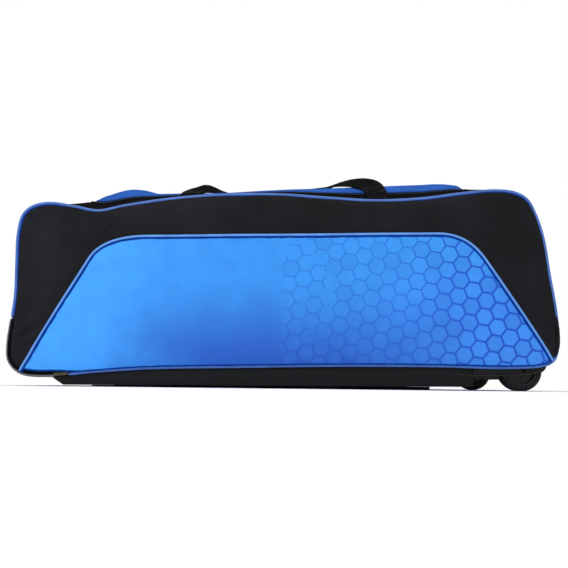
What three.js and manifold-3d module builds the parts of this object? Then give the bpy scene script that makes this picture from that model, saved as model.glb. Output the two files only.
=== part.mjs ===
// A wheeled cricket kit bag, long and soft, with a printed panel on its front side. Millimetres, +Z up.
// +X points to the wheeled end, -Y to the printed front, and the bag stands on Z = 0 on two skid rails
// and two wheels. Its walls are separate cloth panels, sewn together along a corded seam that runs
// round the front side and another that runs round the back side.
import * as THREE from "three";
import { mergeVertices } from "three/addons/utils/BufferGeometryUtils.js";
import Module from "manifold-3d";

const wasm = await Module();
wasm.setup();

// Driving sizes of the bag
const LENGTH = 945; // between the corded seams of the two ends
const HEIGHT = 352; // floor to the highest point of the corded seam
const DEPTH = 310; // front corded seam to back corded seam
const PUFF = 14; // how far the stuffed front and back panels swell out
const PUFF_ALONG = 6; // higher is flatter in the middle and steeper at the edge, along the panel
const PUFF_UP = 2.6; // the same from its bottom to its top
const SWELL_ACROSS = 2.1; // and across the band between the seams
const CLOTH = 2.5; // padded cloth wall
const CORD_RADIUS = 2.6; // piping cord in the main seams
const GAP = 0.3; // between touching pieces

// Printed panel on the front
const PRINT_CLOTH = 2;
const PRINT_CORD_RADIUS = 2.3;
const PRINT_CORD_CLEARANCE = 1.3; // over the front panel
const PRINT_CORD_STEP = 26; // between the bends of the cord

// Lid in the top, with its zip
const LID_LENGTH = 706;
const LID_CENTRE_X = -4;
const LID_WIDTH = 214;
const LID_CORNER = 62;
const ZIP_WIDTH = 15;
const SLIDER_LENGTH = 16;
const SLIDER_WIDTH = 9;
const SLIDER_HEIGHT = 6.5;
const PULL_REACH = 26; // the slider's pull, past its body
const PULL_THICKNESS = 2;

// Carrying straps
const STRAP_WIDTH = 38;
const STRAP_CLOTH = 2.4;
const STRAP_SPAN = 334; // between the two feet of one strap
const STRAP_CLEARANCE = 1.8; // over the lid that it lies on
const STRAP_SEAT = 0.45; // under its two sewn feet
const STRAP_HUMP = 13; // rise of its two arches over the lid
const STRAP_FOOT_INSET = 5.4; // from the corded seam to its feet
const FRONT_STRAP_MIDDLE = 3; // from the bag's middle line to the strap's middle run
const BACK_STRAP_MIDDLE = 46;

// Tow strap on the end away from the wheels
const TOW_STRAP_REACH = 150;
const TOW_STRAP_MIDDLE = 178;
const TOW_STRAP_LIFT = 16;

// Stiff base
const BASE_WALL = 3;
const BASE_WIDTH = 302;
const BASE_TOW_X = -394.4;
const BASE_JOIN_X = 325; // where the tray ends and the wheel carriage starts
const BASE_CHAMFER = 18;
const BASE_TOW_CLEARANCE = 2.6; // under the tray at its tow end
const BASE_JOIN_CLEARANCE = 6.4; // under the tray at the carriage
const BASE_RIM_OVERLAP = 4; // how far the rim stands up behind the corded seam

// Skid rails under the tray
const RAIL_WIDTH = 16;
const RAIL_TRACK = 180; // between the middles of the two rails
const RAIL_TOW_X = -340;
const RAIL_WHEEL_X = 264;

// Wheels and the moulded carriage that holds them
const WHEEL_RADIUS = 36;
const WHEEL_WIDTH = 30;
const WHEEL_X = 411;
const WHEEL_TRACK = 262; // between the middles of the two wheels
const WHEEL_SHOULDER = 6; // rounding of the tread's edges
const HUB_RECESS = 4;
const HUB_RADIUS = 23;
const WHEEL_BORE = 4.5;
const AXLE_RADIUS = 4;
const WELL_CLEARANCE = 4; // round the tread
const CHEEK = 4; // plate that carries the axle
const CHEEK_CLEARANCE = 2; // beside the wheel
const CARRIAGE_UNDER = 20.5; // floor to the underside of the carriage
const CHEEK_UNDER = 29; // floor to the lower edge of the outer cheek
const CARRIAGE_FLOOR = 3;
const AXLE_HOLE = 4.4; // in the cheeks, just wider than the axle

// The corded seam of one side, clockwise from the tow end of the base. along is a share of LENGTH from
// the middle, up a share of HEIGHT, and swell, a share of DEPTH, how far the band between the two seams
// bulges outwards halfway across the bag. The top edge sags twice, beside the tow end and past the middle.
const SEAM = [
  { mark: "baseTow", along: -0.418, up: 0.048, swell: 0 },
  { along: -0.469, up: 0.06, swell: 0.01 },
  { mark: "lowTow", along: -0.487, up: 0.088, swell: 0.02 },
  { along: -0.4974, up: 0.128, swell: 0.03 },
  { along: -0.5, up: 0.199, swell: 0.04 },
  { mark: "zipTop", along: -0.4963, up: 0.325, swell: 0.048 },
  { along: -0.4926, up: 0.44, swell: 0.052 },
  { along: -0.494, up: 0.611, swell: 0.052 },
  { along: -0.4947, up: 0.744, swell: 0.05 },
  { along: -0.4884, up: 0.841, swell: 0.046 },
  { mark: "highTow", along: -0.476, up: 0.881, swell: 0.045 },
  { along: -0.4598, up: 0.901, swell: 0.045 },
  { along: -0.437, up: 0.909, swell: 0.06 },
  { along: -0.3915, up: 0.892, swell: 0.118 },
  { along: -0.347, up: 0.872, swell: 0.184 },
  { along: -0.302, up: 0.8977, swell: 0.204 },
  { along: -0.2127, up: 0.9375, swell: 0.138 },
  { along: -0.1228, up: 0.96, swell: 0.12 },
  { along: -0.0106, up: 0.966, swell: 0.14 },
  { along: 0.0794, up: 0.9517, swell: 0.168 },
  { along: 0.1693, up: 0.9403, swell: 0.199 },
  { along: 0.259, up: 0.9534, swell: 0.194 },
  { along: 0.318, up: 0.976, swell: 0.165 },
  { along: 0.35, up: 0.9875, swell: 0.12 },
  { along: 0.396, up: 1, swell: 0.085 },
  { along: 0.434, up: 0.9886, swell: 0.06 },
  { mark: "highWheel", along: 0.455, up: 0.9545, swell: 0.05 },
  { along: 0.4688, up: 0.8835, swell: 0.05 },
  { along: 0.4815, up: 0.761, swell: 0.052 },
  { along: 0.49, up: 0.568, swell: 0.052 },
  { along: 0.4974, up: 0.412, swell: 0.05 },
  { along: 0.5, up: 0.298, swell: 0.04 },
  { along: 0.4984, up: 0.213, swell: 0.03 },
  { mark: "lowWheel", along: 0.4894, up: 0.1506, swell: 0.016 },
  { mark: "baseWheel", along: 0.471, up: 0.1264, swell: 0 },
  { along: 0.406, up: 0.1136, swell: 0 },
  { along: 0.275, up: 0.118, swell: 0 },
  { along: 0.1016, up: 0.1153, swell: 0 },
  { along: -0.072, up: 0.105, swell: 0 },
  { along: -0.2455, up: 0.091, swell: 0 },
  { along: -0.3386, up: 0.0696, swell: 0 },
];

// Corners of the printed panel, as shares of LENGTH and HEIGHT. Each sharp corner is rounded from the
// point before it to the point after it.
const PRINT = {
  lowTow: { along: -0.4758, up: 0.0898 },
  riseTow: { along: -0.3624, up: 0.6165 },
  cornerTow: { along: -0.3397, up: 0.7355 },
  levelTow: { along: -0.2512, up: 0.7395 },
  levelWheel: { along: 0.2842, up: 0.767 },
  cornerWheel: { along: 0.3386, up: 0.7705 },
  fallWheel: { along: 0.3701, up: 0.6392 },
  lowWheel: { along: 0.4798, up: 0.1773 },
};

// One carrying strap from its foot near the tow end to its foot near the wheels. It arches up from each
// foot and lies down along the lid. along is a share of half STRAP_SPAN, inward a share of the way from
// the feet to the strap's middle run, and hump a share of STRAP_HUMP.
const STRAP = [
  { along: -1, inward: 0, hump: 0 },
  { along: -1, inward: 0.115, hump: 0.3 },
  { along: -0.975, inward: 0.27, hump: 0.8 },
  { along: -0.9, inward: 0.467, hump: 1 },
  { along: -0.79, inward: 0.636, hump: 0.75 },
  { along: -0.66, inward: 0.78, hump: 0.25 },
  { along: -0.5, inward: 0.903, hump: 0 },
  { along: -0.28, inward: 0.982, hump: 0 },
  { along: 0, inward: 1, hump: 0 },
  { along: 0.28, inward: 0.982, hump: 0 },
  { along: 0.5, inward: 0.903, hump: 0 },
  { along: 0.66, inward: 0.78, hump: 0.25 },
  { along: 0.79, inward: 0.636, hump: 0.75 },
  { along: 0.9, inward: 0.467, hump: 1 },
  { along: 0.975, inward: 0.27, hump: 0.8 },
  { along: 1, inward: 0.115, hump: 0.3 },
  { along: 1, inward: 0, hump: 0 },
];

// Steps along each run of the seam, and across the band and the panels
const STEPS = { underTow: 2, tow: 8, top: 22, wheel: 8, underWheel: 2, bottom: 18 };
const BAND_STEPS = 8;
const CORD_SIDES = 6;
const ARC_STEPS = 8;
const STRAP_STEPS = 38;
const TOW_STRAP_STEPS = 14;
const WHEEL_SIDES = 26;
const WELL_SIDES = 32;
const AXLE_SIDES = 12;

const halfDepth = DEPTH / 2;
const seamClearance = CORD_RADIUS + GAP;

const seamCurve = new THREE.CatmullRomCurve3(
  SEAM.map((row) => new THREE.Vector3(row.along * LENGTH, row.swell * DEPTH, row.up * HEIGHT)),
  true,
  "centripetal",
);

function markAt(name) {
  return SEAM.findIndex((row) => row.mark === name) / SEAM.length;
}

// The seam at t: its place in the side's plane, the band's swell there and the outward direction.
function seamAt(t) {
  const turn = t - Math.floor(t);
  const point = seamCurve.getPoint(turn);
  const tangent = seamCurve.getTangent(turn).setY(0).normalize();
  return { x: point.x, z: point.z, swell: point.y, out: new THREE.Vector3(-tangent.z, 0, tangent.x) };
}

// Places on the seam from t0 to t1, evenly apart but closer towards both ends, where the corners turn.
function spacedRun(t0, t1, steps) {
  const fine = 200;
  const lengths = [0];
  for (let i = 1; i <= fine; i++) {
    const a = seamAt(t0 + ((t1 - t0) * (i - 1)) / fine);
    const b = seamAt(t0 + ((t1 - t0) * i) / fine);
    lengths.push(lengths[i - 1] + Math.hypot(b.x - a.x, b.z - a.z));
  }
  const crowding = 0.5;
  return Array.from({ length: steps + 1 }, (_, i) => {
    const even = i / steps;
    const share = even - (crowding * Math.sin(2 * Math.PI * even)) / (2 * Math.PI);
    const goal = share * lengths[fine];
    const above = Math.max(1, lengths.findIndex((length) => length >= goal - 1e-9));
    const part = (goal - lengths[above - 1]) / (lengths[above] - lengths[above - 1]);
    return t0 + ((t1 - t0) * (above - 1 + part)) / fine;
  });
}

const runs = {
  underTow: spacedRun(markAt("baseTow"), markAt("lowTow"), STEPS.underTow),
  tow: spacedRun(markAt("lowTow"), markAt("highTow"), STEPS.tow),
  top: spacedRun(markAt("highTow"), markAt("highWheel"), STEPS.top),
  wheel: spacedRun(markAt("highWheel"), markAt("lowWheel"), STEPS.wheel),
  underWheel: spacedRun(markAt("lowWheel"), markAt("baseWheel"), STEPS.underWheel),
  bottom: spacedRun(markAt("baseWheel"), markAt("baseTow") + 1, STEPS.bottom),
};

function joined(...parts) {
  return parts.flatMap((part, i) => (i === 0 ? part : part.slice(1)));
}

// A path through chosen points, which an extrusion follows point by point.
class PointPath extends THREE.Curve {
  constructor(points) {
    super();
    this.points = points;
  }
  getPoint(share, target = new THREE.Vector3()) {
    const place = share * (this.points.length - 1);
    const before = Math.min(Math.floor(place), this.points.length - 2);
    return target.lerpVectors(this.points[before], this.points[before + 1], place - before);
  }
  getPointAt(share, target) {
    return this.getPoint(share, target);
  }
  getTangentAt(share) {
    const step = 0.5 / (this.points.length - 1);
    const after = this.getPoint(Math.min(1, share + step));
    return after.sub(this.getPoint(Math.max(0, share - step))).normalize();
  }
}

function cordAlong(points, radius) {
  const section = new THREE.Shape(
    Array.from({ length: CORD_SIDES }, (_, i) => {
      const angle = (2 * Math.PI * i) / CORD_SIDES;
      return new THREE.Vector2(radius * Math.cos(angle), radius * Math.sin(angle));
    }),
  );
  const path = new PointPath(points);
  return new THREE.ExtrudeGeometry(section, { steps: points.length - 1, extrudePath: path });
}

// A wall of even thickness about a grid of points, closed round its rim.
function wall(grid, thickness) {
  const rows = grid.length;
  const columns = grid[0].length;
  const normals = grid.map((row, i) =>
    row.map((_, j) => {
      const first = grid[Math.min(i + 1, rows - 1)][j].clone().sub(grid[Math.max(i - 1, 0)][j]);
      const second = row[Math.min(j + 1, columns - 1)].clone().sub(row[Math.max(j - 1, 0)]);
      return first.cross(second).normalize();
    }),
  );
  const skin = (side) =>
    grid.flatMap((row, i) =>
      row.map((p, j) => p.clone().addScaledVector(normals[i][j], (side * thickness) / 2)),
    );
  const at = (i, j, inner) => (inner ? rows * columns : 0) + i * columns + j;
  const faces = [];
  const quad = (a, b, c, d) => faces.push(a, b, c, a, c, d);
  for (let i = 0; i < rows - 1; i++) {
    for (let j = 0; j < columns - 1; j++) {
      quad(at(i, j), at(i + 1, j), at(i + 1, j + 1), at(i, j + 1));
      quad(at(i, j, true), at(i, j + 1, true), at(i + 1, j + 1, true), at(i + 1, j, true));
    }
    const last = columns - 1;
    quad(at(i, 0), at(i, 0, true), at(i + 1, 0, true), at(i + 1, 0));
    quad(at(i, last), at(i + 1, last), at(i + 1, last, true), at(i, last, true));
  }
  for (let j = 0; j < columns - 1; j++) {
    const last = rows - 1;
    quad(at(0, j), at(0, j + 1), at(0, j + 1, true), at(0, j, true));
    quad(at(last, j), at(last, j, true), at(last, j + 1, true), at(last, j + 1));
  }
  return new THREE.BufferGeometry().setFromPoints([...skin(1), ...skin(-1)]).setIndex(faces);
}

function solidOf(geometry) {
  const bare = new THREE.BufferGeometry().setAttribute("position", geometry.getAttribute("position"));
  if (geometry.index) bare.setIndex(geometry.index);
  const merged = mergeVertices(bare, 1e-3);
  return new wasm.Manifold(
    new wasm.Mesh({
      numProp: 3,
      vertProperties: merged.attributes.position.array,
      triVerts: new Uint32Array(merged.index.array),
    }),
  );
}

function geometryOf(solid) {
  const mesh = solid.getMesh();
  return new THREE.BufferGeometry()
    .setAttribute("position", new THREE.BufferAttribute(mesh.vertProperties, 3))
    .setIndex(new THREE.BufferAttribute(mesh.triVerts, 1));
}

// An outline in plan, raised from z0 to z1.
function uprightPrism(shape, z0, z1) {
  const options = { depth: z1 - z0, bevelEnabled: false, curveSegments: ARC_STEPS };
  return solidOf(new THREE.ExtrudeGeometry(shape, options).translate(0, 0, z0));
}

// An outline seen from the front, run from y0 to y1.
function levelPrism(shape, y0, y1) {
  const options = { depth: y1 - y0, bevelEnabled: false, curveSegments: ARC_STEPS };
  return solidOf(new THREE.ExtrudeGeometry(shape, options).rotateX(Math.PI / 2).translate(0, y1, 0));
}

function outlineOf(pairs) {
  return new THREE.Shape(pairs.map(([x, y]) => new THREE.Vector2(x, y)));
}

// Where a straight line first meets a geometry.
function hit(geometry, from, direction) {
  const target = new THREE.Mesh(geometry, new THREE.MeshStandardMaterial({ side: THREE.DoubleSide }));
  const found = new THREE.Raycaster(from, direction).intersectObject(target);
  if (!found.length) throw new Error("nothing lies there");
  return found[0].point;
}

// The front panel's middle surface: a patch spanned between the four runs of the seam, which puffs out.
function panelGrid(side, lift = 0) {
  const lower = joined(runs.underWheel, runs.bottom, runs.underTow).reverse();
  const upper = runs.top;
  const tow = runs.tow;
  const wheel = [...runs.wheel].reverse();
  const inset = (t) => {
    const { x, z, out } = seamAt(t);
    return new THREE.Vector2(x - out.x * seamClearance, z - out.z * seamClearance);
  };
  const [low, high, left, right] = [lower, upper, tow, wheel].map((ts) => ts.map(inset));
  const mix = (a, b, share) => a.clone().lerp(b, share);
  return low.map((_, i) => {
    const u = i / (low.length - 1);
    return left.map((_, j) => {
      const v = j / (left.length - 1);
      const ends = mix(mix(low[0], low.at(-1), u), mix(high[0], high.at(-1), u), v);
      const place = mix(low[i], high[i], v).add(mix(left[j], right[j], u)).sub(ends);
      const puff =
        PUFF * (1 - Math.abs(2 * u - 1) ** PUFF_ALONG) * (1 - Math.abs(2 * v - 1) ** PUFF_UP);
      return new THREE.Vector3(place.x, side * (halfDepth + puff + lift), place.y);
    });
  });
}

// The band between the two seams over part of the seam. It swells outwards, upright on the top and
// level on the ends, with a smooth turn at the corners.
function bandGrid(ts) {
  const squareness = 5;
  const middleZ = HEIGHT / 2;
  const reach = halfDepth - seamClearance - CLOTH / 2;
  return ts.map((t) => {
    const { x, z, swell } = seamAt(t);
    const swellX = Math.sign(x) * Math.abs((2 * x) / LENGTH) ** squareness / LENGTH;
    const swellZ = Math.sign(z - middleZ) * Math.abs((z - middleZ) / middleZ) ** squareness / HEIGHT;
    const direction = new THREE.Vector3(swellX, 0, swellZ).normalize();
    return Array.from({ length: BAND_STEPS + 1 }, (_, j) => {
      const across = Math.sin((Math.PI / 2) * ((2 * j) / BAND_STEPS - 1));
      const bulge = swell * (1 - Math.abs(across) ** SWELL_ACROSS);
      return new THREE.Vector3(x, reach * across, z).addScaledVector(direction, bulge);
    });
  });
}

// Trims a run at one or both ends, so that neighbouring panels keep their gap.
function trimmed(ts, atStart, atEnd) {
  const run = [...ts];
  const pull = (from, to) => {
    const a = seamAt(run[from]);
    const b = seamAt(run[to]);
    run[from] += ((run[to] - run[from]) * GAP) / Math.hypot(b.x - a.x, b.z - a.z);
  };
  if (atStart) pull(0, 1);
  if (atEnd) pull(run.length - 1, run.length - 2);
  return run;
}

const frontPanel = wall(panelGrid(-1), CLOTH);
const backPanel = wall(panelGrid(1), CLOTH);

// The band in one wall, which is then parted at its two high corners.
const bandRun = trimmed(joined(runs.underTow, runs.tow, runs.top, runs.wheel), true, true);
const band = wall(bandGrid(bandRun), CLOTH);

// All that lies ahead of a mark on the seam, going clockwise, or with way -1 all that lies behind it.
function beyond(name, way) {
  const { x, z, out } = seamAt(markAt(name));
  const ahead = new THREE.Vector2(out.z, -out.x).multiplyScalar(way);
  const corner = (sideways, forwards) => [
    x + out.x * sideways + ahead.x * forwards,
    z + out.z * sideways + ahead.y * forwards,
  ];
  const corners = [
    corner(-LENGTH, GAP / 2),
    corner(LENGTH, GAP / 2),
    corner(LENGTH, LENGTH),
    corner(-LENGTH, LENGTH),
  ];
  return levelPrism(outlineOf(corners), -DEPTH, DEPTH);
}

const bandSolid = solidOf(band);
const towPanel = geometryOf(bandSolid.intersect(beyond("highTow", -1)));
const topSolid = bandSolid.intersect(beyond("highTow", 1)).intersect(beyond("highWheel", -1));
const wheelPanel = geometryOf(bandSolid.intersect(beyond("highWheel", 1)));

function mainCord(ts, side) {
  const points = ts.map((t) => {
    const { x, z } = seamAt(t);
    return new THREE.Vector3(x, side * halfDepth, z);
  });
  return cordAlong(points, CORD_RADIUS);
}

// The zip takes the cord's place on the front seam, from the base round the low tow corner.
const zipSteps = runs.tow.filter((t) => t <= markAt("zipTop"));
const zipRun = joined(runs.underTow, [...zipSteps, markAt("zipTop")]);
const cordRun = joined(
  [markAt("zipTop"), ...runs.tow.filter((t) => t > markAt("zipTop"))],
  runs.top,
  runs.wheel,
  runs.underWheel,
  runs.bottom,
);
const frontCord = mainCord(trimmed(cordRun, true, true), -1);
const pocketZip = mainCord(zipRun, -1);
const backCord = mainCord(
  trimmed(joined(runs.underTow, runs.tow, runs.top, runs.wheel, runs.underWheel, runs.bottom), true, false),
  1,
);

function printPoint(name) {
  return new THREE.Vector2(PRINT[name].along * LENGTH, PRINT[name].up * HEIGHT);
}

// The printed panel's edge from its low tow corner up, over and down to its low wheel corner.
function printEdge() {
  const path = new THREE.Path();
  path.moveTo(...printPoint("lowTow"));
  path.lineTo(...printPoint("riseTow"));
  path.quadraticCurveTo(...printPoint("cornerTow"), ...printPoint("levelTow"));
  path.lineTo(...printPoint("levelWheel"));
  path.quadraticCurveTo(...printPoint("cornerWheel"), ...printPoint("fallWheel"));
  path.lineTo(...printPoint("lowWheel"));
  return path;
}

// The same edge, moved inwards, closed far below, where the seam trims the panel.
function printShape(inset) {
  const points = printEdge().getPoints(ARC_STEPS);
  const moved = points.map((p, i) => {
    const before = points[Math.max(i - 1, 0)];
    const after = points[Math.min(i + 1, points.length - 1)];
    const along = after.clone().sub(before).normalize();
    return new THREE.Vector2(p.x + along.y * inset, p.y - along.x * inset);
  });
  const foot = -HEIGHT;
  const [first, second] = moved;
  const [last, lastButOne] = [moved.at(-1), moved.at(-2)];
  const extended = (a, b) => new THREE.Vector2(a.x + ((b.x - a.x) * (foot - a.y)) / (b.y - a.y), foot);
  return new THREE.Shape([extended(second, first), ...moved, extended(lastButOne, last)]);
}

const printLift = CLOTH / 2 + GAP + PRINT_CLOTH / 2;
const printLayer = solidOf(wall(panelGrid(-1, printLift), PRINT_CLOTH));
const printCut = levelPrism(printShape(PRINT_CORD_RADIUS + GAP), -DEPTH, 0);
const printPanel = geometryOf(printLayer.intersect(printCut));

function onFront(x, z) {
  return hit(frontPanel, new THREE.Vector3(x, -DEPTH, z), new THREE.Vector3(0, 1, 0));
}

function printCord() {
  const edge = printEdge();
  const points = edge.curves.flatMap((curve, i) => {
    const steps = curve.isLineCurve ? Math.ceil(curve.getLength() / PRINT_CORD_STEP) : ARC_STEPS;
    return curve.getPoints(steps).slice(i === 0 ? 0 : 1);
  });
  const lift = PRINT_CORD_RADIUS + PRINT_CORD_CLEARANCE;
  const lifted = points.map((p) => onFront(p.x, p.y).add(new THREE.Vector3(0, -lift, 0)));
  return cordAlong(lifted, PRINT_CORD_RADIUS);
}

// The lid and its zip, cut out of the top band.
function lidShape(margin) {
  const [x, y] = [LID_LENGTH / 2 + margin, LID_WIDTH / 2 + margin];
  const corner = LID_CORNER + margin;
  const shape = new THREE.Shape();
  shape.moveTo(LID_CENTRE_X - x + corner, -y);
  shape.lineTo(LID_CENTRE_X + x - corner, -y);
  shape.absarc(LID_CENTRE_X + x - corner, -y + corner, corner, -Math.PI / 2, 0);
  shape.lineTo(LID_CENTRE_X + x, y - corner);
  shape.absarc(LID_CENTRE_X + x - corner, y - corner, corner, 0, Math.PI / 2);
  shape.lineTo(LID_CENTRE_X - x + corner, y);
  shape.absarc(LID_CENTRE_X - x + corner, y - corner, corner, Math.PI / 2, Math.PI);
  shape.lineTo(LID_CENTRE_X - x, -y + corner);
  shape.absarc(LID_CENTRE_X - x + corner, -y + corner, corner, Math.PI, 1.5 * Math.PI);
  return shape;
}

const lidColumn = (margin) => uprightPrism(lidShape(margin), 0, 2 * HEIGHT);
const lid = topSolid.intersect(lidColumn(0));
const lidZip = topSolid.intersect(lidColumn(GAP + ZIP_WIDTH).subtract(lidColumn(GAP)));
const topPanel = topSolid.subtract(lidColumn(2 * GAP + ZIP_WIDTH));

function onTop(x, y) {
  return hit(band, new THREE.Vector3(x, y, 2 * HEIGHT), new THREE.Vector3(0, 0, -1));
}

function carryStrap(side, middle) {
  const foot = halfDepth - STRAP_FOOT_INSET;
  const rows = STRAP.map((row) => {
    const out = foot + (middle - foot) * row.inward;
    return new THREE.Vector3((row.along * STRAP_SPAN) / 2, side * out, row.hump * STRAP_HUMP);
  });
  const path = new THREE.CatmullRomCurve3(rows, false, "centripetal");
  const grid = path.getSpacedPoints(STRAP_STEPS).map((point, i) => {
    const tangent = path.getTangentAt(i / STRAP_STEPS).setZ(0).normalize();
    const clearance = i === 0 || i === STRAP_STEPS ? STRAP_SEAT : STRAP_CLEARANCE;
    return [-1, 0, 1].map((edge) => {
      const x = point.x - (tangent.y * edge * STRAP_WIDTH) / 2;
      const y = point.y + (tangent.x * edge * STRAP_WIDTH) / 2;
      const z = onTop(x, y).z + clearance + STRAP_CLOTH / 2 + point.z;
      return new THREE.Vector3(x, y, z);
    });
  });
  return wall(grid, STRAP_CLOTH);
}

// A plain haul strap that stands off the tow end in a shallow arch.
function towStrap() {
  const grid = Array.from({ length: TOW_STRAP_STEPS + 1 }, (_, i) => {
    const share = i / TOW_STRAP_STEPS;
    const z = TOW_STRAP_MIDDLE + (share - 0.5) * TOW_STRAP_REACH;
    const lift = STRAP_SEAT + TOW_STRAP_LIFT * Math.sin(Math.PI * share) ** 2;
    return [1, 0, -1].map((edge) => {
      const y = (edge * STRAP_WIDTH) / 2;
      const skin = hit(band, new THREE.Vector3(-LENGTH, y, z), new THREE.Vector3(1, 0, 0));
      return new THREE.Vector3(skin.x - STRAP_CLOTH / 2 - lift, y, z);
    });
  });
  return wall(grid, STRAP_CLOTH);
}

// Seam height over the base at each step, which the tray's rim follows.
const seamOverBase = runs.bottom.map((t) => seamAt(t)).reverse();

function trayUnder(x) {
  const share = (x - BASE_TOW_X - BASE_CHAMFER) / (BASE_JOIN_X - BASE_TOW_X - BASE_CHAMFER);
  return BASE_TOW_CLEARANCE + (BASE_JOIN_CLEARANCE - BASE_TOW_CLEARANCE) * share;
}

function baseTray() {
  const start = seamOverBase[0];
  const shoulder = start.z - CLOTH;
  const rim = seamOverBase.filter((p) => p.x > BASE_TOW_X && p.x < BASE_JOIN_X - BASE_WALL);
  const rimEnd = rim.at(-1).z + BASE_RIM_OVERLAP;
  const outer = levelPrism(
    outlineOf([
      [BASE_TOW_X, shoulder],
      [BASE_TOW_X + BASE_CHAMFER, BASE_TOW_CLEARANCE],
      [BASE_JOIN_X, BASE_JOIN_CLEARANCE],
      [BASE_JOIN_X, rimEnd],
      ...rim.reverse().map((p) => [p.x, p.z + BASE_RIM_OVERLAP]),
      [BASE_TOW_X, start.z + BASE_RIM_OVERLAP],
    ]),
    -BASE_WIDTH / 2,
    BASE_WIDTH / 2,
  );
  const inner = levelPrism(
    outlineOf([
      [BASE_TOW_X + BASE_WALL, shoulder + BASE_WALL / 2],
      [BASE_TOW_X + BASE_CHAMFER + BASE_WALL / 2, BASE_TOW_CLEARANCE + BASE_WALL],
      [BASE_JOIN_X - BASE_WALL, BASE_JOIN_CLEARANCE + BASE_WALL],
      [BASE_JOIN_X - BASE_WALL, HEIGHT],
      [BASE_TOW_X + BASE_WALL, HEIGHT],
    ]),
    -BASE_WIDTH / 2 + BASE_WALL,
    BASE_WIDTH / 2 - BASE_WALL,
  );
  return geometryOf(outer.subtract(inner));
}

function skidRail(side) {
  const top = (x) => trayUnder(x) - GAP;
  const nose = 8;
  const shape = outlineOf([
    [RAIL_TOW_X, top(RAIL_TOW_X)],
    [RAIL_TOW_X, top(RAIL_TOW_X) / 2],
    [RAIL_TOW_X + nose, 0],
    [RAIL_WHEEL_X - nose / 4, 0],
    [RAIL_WHEEL_X, top(RAIL_WHEEL_X) / 2],
    [RAIL_WHEEL_X, top(RAIL_WHEEL_X)],
  ]);
  const middle = (side * RAIL_TRACK) / 2;
  return geometryOf(levelPrism(shape, middle - RAIL_WIDTH / 2, middle + RAIL_WIDTH / 2));
}

const wellRadius = WHEEL_RADIUS + WELL_CLEARANCE;
const wellHalf = WHEEL_WIDTH / 2 + CHEEK_CLEARANCE;

// A round bar along Y through a wheel's middle.
function wheelBar(radius, y0, y1, sides) {
  const bar = new THREE.CylinderGeometry(radius, radius, y1 - y0, sides);
  return bar.translate(WHEEL_X, (y0 + y1) / 2, WHEEL_RADIUS);
}

// The moulded carriage: a dished block between two outer cheeks, with a well for each wheel.
function wheelCarriage() {
  const left = BASE_JOIN_X + GAP;
  const low = seamAt(markAt("lowWheel"));
  const base = seamAt(markAt("baseWheel"));
  const right = low.x - CLOTH;
  const roof = WHEEL_RADIUS + wellRadius + CARRIAGE_FLOOR;
  const ledge = base.z;
  const blockHalf = WHEEL_TRACK / 2 + wellHalf;
  const profile = new THREE.Shape();
  profile.moveTo(left, CARRIAGE_UNDER);
  profile.lineTo(WHEEL_X, CARRIAGE_UNDER);
  profile.quadraticCurveTo(right, CARRIAGE_UNDER, right, low.z);
  profile.lineTo(right - CLOTH, roof);
  profile.lineTo(WHEEL_X - wellRadius - CARRIAGE_FLOOR, roof);
  profile.lineTo(WHEEL_X - wellRadius - CARRIAGE_FLOOR, ledge);
  profile.lineTo(left, ledge);
  const block = levelPrism(profile, -blockHalf, blockHalf);

  const hollowHalf = blockHalf - 2 * wellHalf - CHEEK;
  const hollow = levelPrism(
    outlineOf([
      [left + CARRIAGE_FLOOR, CARRIAGE_UNDER + CARRIAGE_FLOOR],
      [WHEEL_X, CARRIAGE_UNDER + CARRIAGE_FLOOR],
      [right - 2 * CARRIAGE_FLOOR, low.z],
      [right - 3 * CARRIAGE_FLOOR, HEIGHT],
      [left + CARRIAGE_FLOOR, HEIGHT],
    ]),
    -hollowHalf,
    hollowHalf,
  );

  const cheek = new THREE.Shape();
  cheek.moveTo(left, CHEEK_UNDER);
  cheek.lineTo(WHEEL_X + WHEEL_RADIUS / 3, CHEEK_UNDER);
  cheek.quadraticCurveTo(WHEEL_X + WHEEL_RADIUS, CHEEK_UNDER, WHEEL_X + wellRadius, base.z - CORD_RADIUS);
  cheek.lineTo(right, low.z);
  cheek.lineTo(right - CLOTH, roof);
  cheek.lineTo(WHEEL_X - wellRadius - CARRIAGE_FLOOR, roof);
  cheek.lineTo(WHEEL_X - wellRadius - CARRIAGE_FLOOR, ledge);
  cheek.lineTo(left, ledge);

  const mouth = outlineOf([
    [WHEEL_X - wellRadius, -WHEEL_RADIUS],
    [LENGTH, -WHEEL_RADIUS],
    [LENGTH, base.z],
    [WHEEL_X + wellRadius, base.z],
    [WHEEL_X - wellRadius, WHEEL_RADIUS],
  ]);
  let carriage = block.subtract(hollow);
  for (const side of [-1, 1]) {
    const middle = (side * WHEEL_TRACK) / 2;
    const [y0, y1] = [middle - wellHalf, middle + wellHalf];
    carriage = carriage.subtract(solidOf(wheelBar(wellRadius, y0, y1, WELL_SIDES)));
    carriage = carriage.subtract(levelPrism(mouth, y0, y1));
    const cheekMiddle = side * (blockHalf + CHEEK / 2);
    carriage = carriage.add(levelPrism(cheek, cheekMiddle - CHEEK / 2, cheekMiddle + CHEEK / 2));
    const reach = wellHalf + CHEEK + GAP;
    const bore = wheelBar(AXLE_HOLE, middle - reach, middle + reach, AXLE_SIDES);
    carriage = carriage.subtract(solidOf(bore));
  }
  return geometryOf(carriage);
}

function axle(side) {
  const reach = wellHalf + CHEEK - GAP;
  const middle = (side * WHEEL_TRACK) / 2;
  return wheelBar(AXLE_RADIUS, middle - reach, middle + reach, AXLE_SIDES);
}

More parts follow.
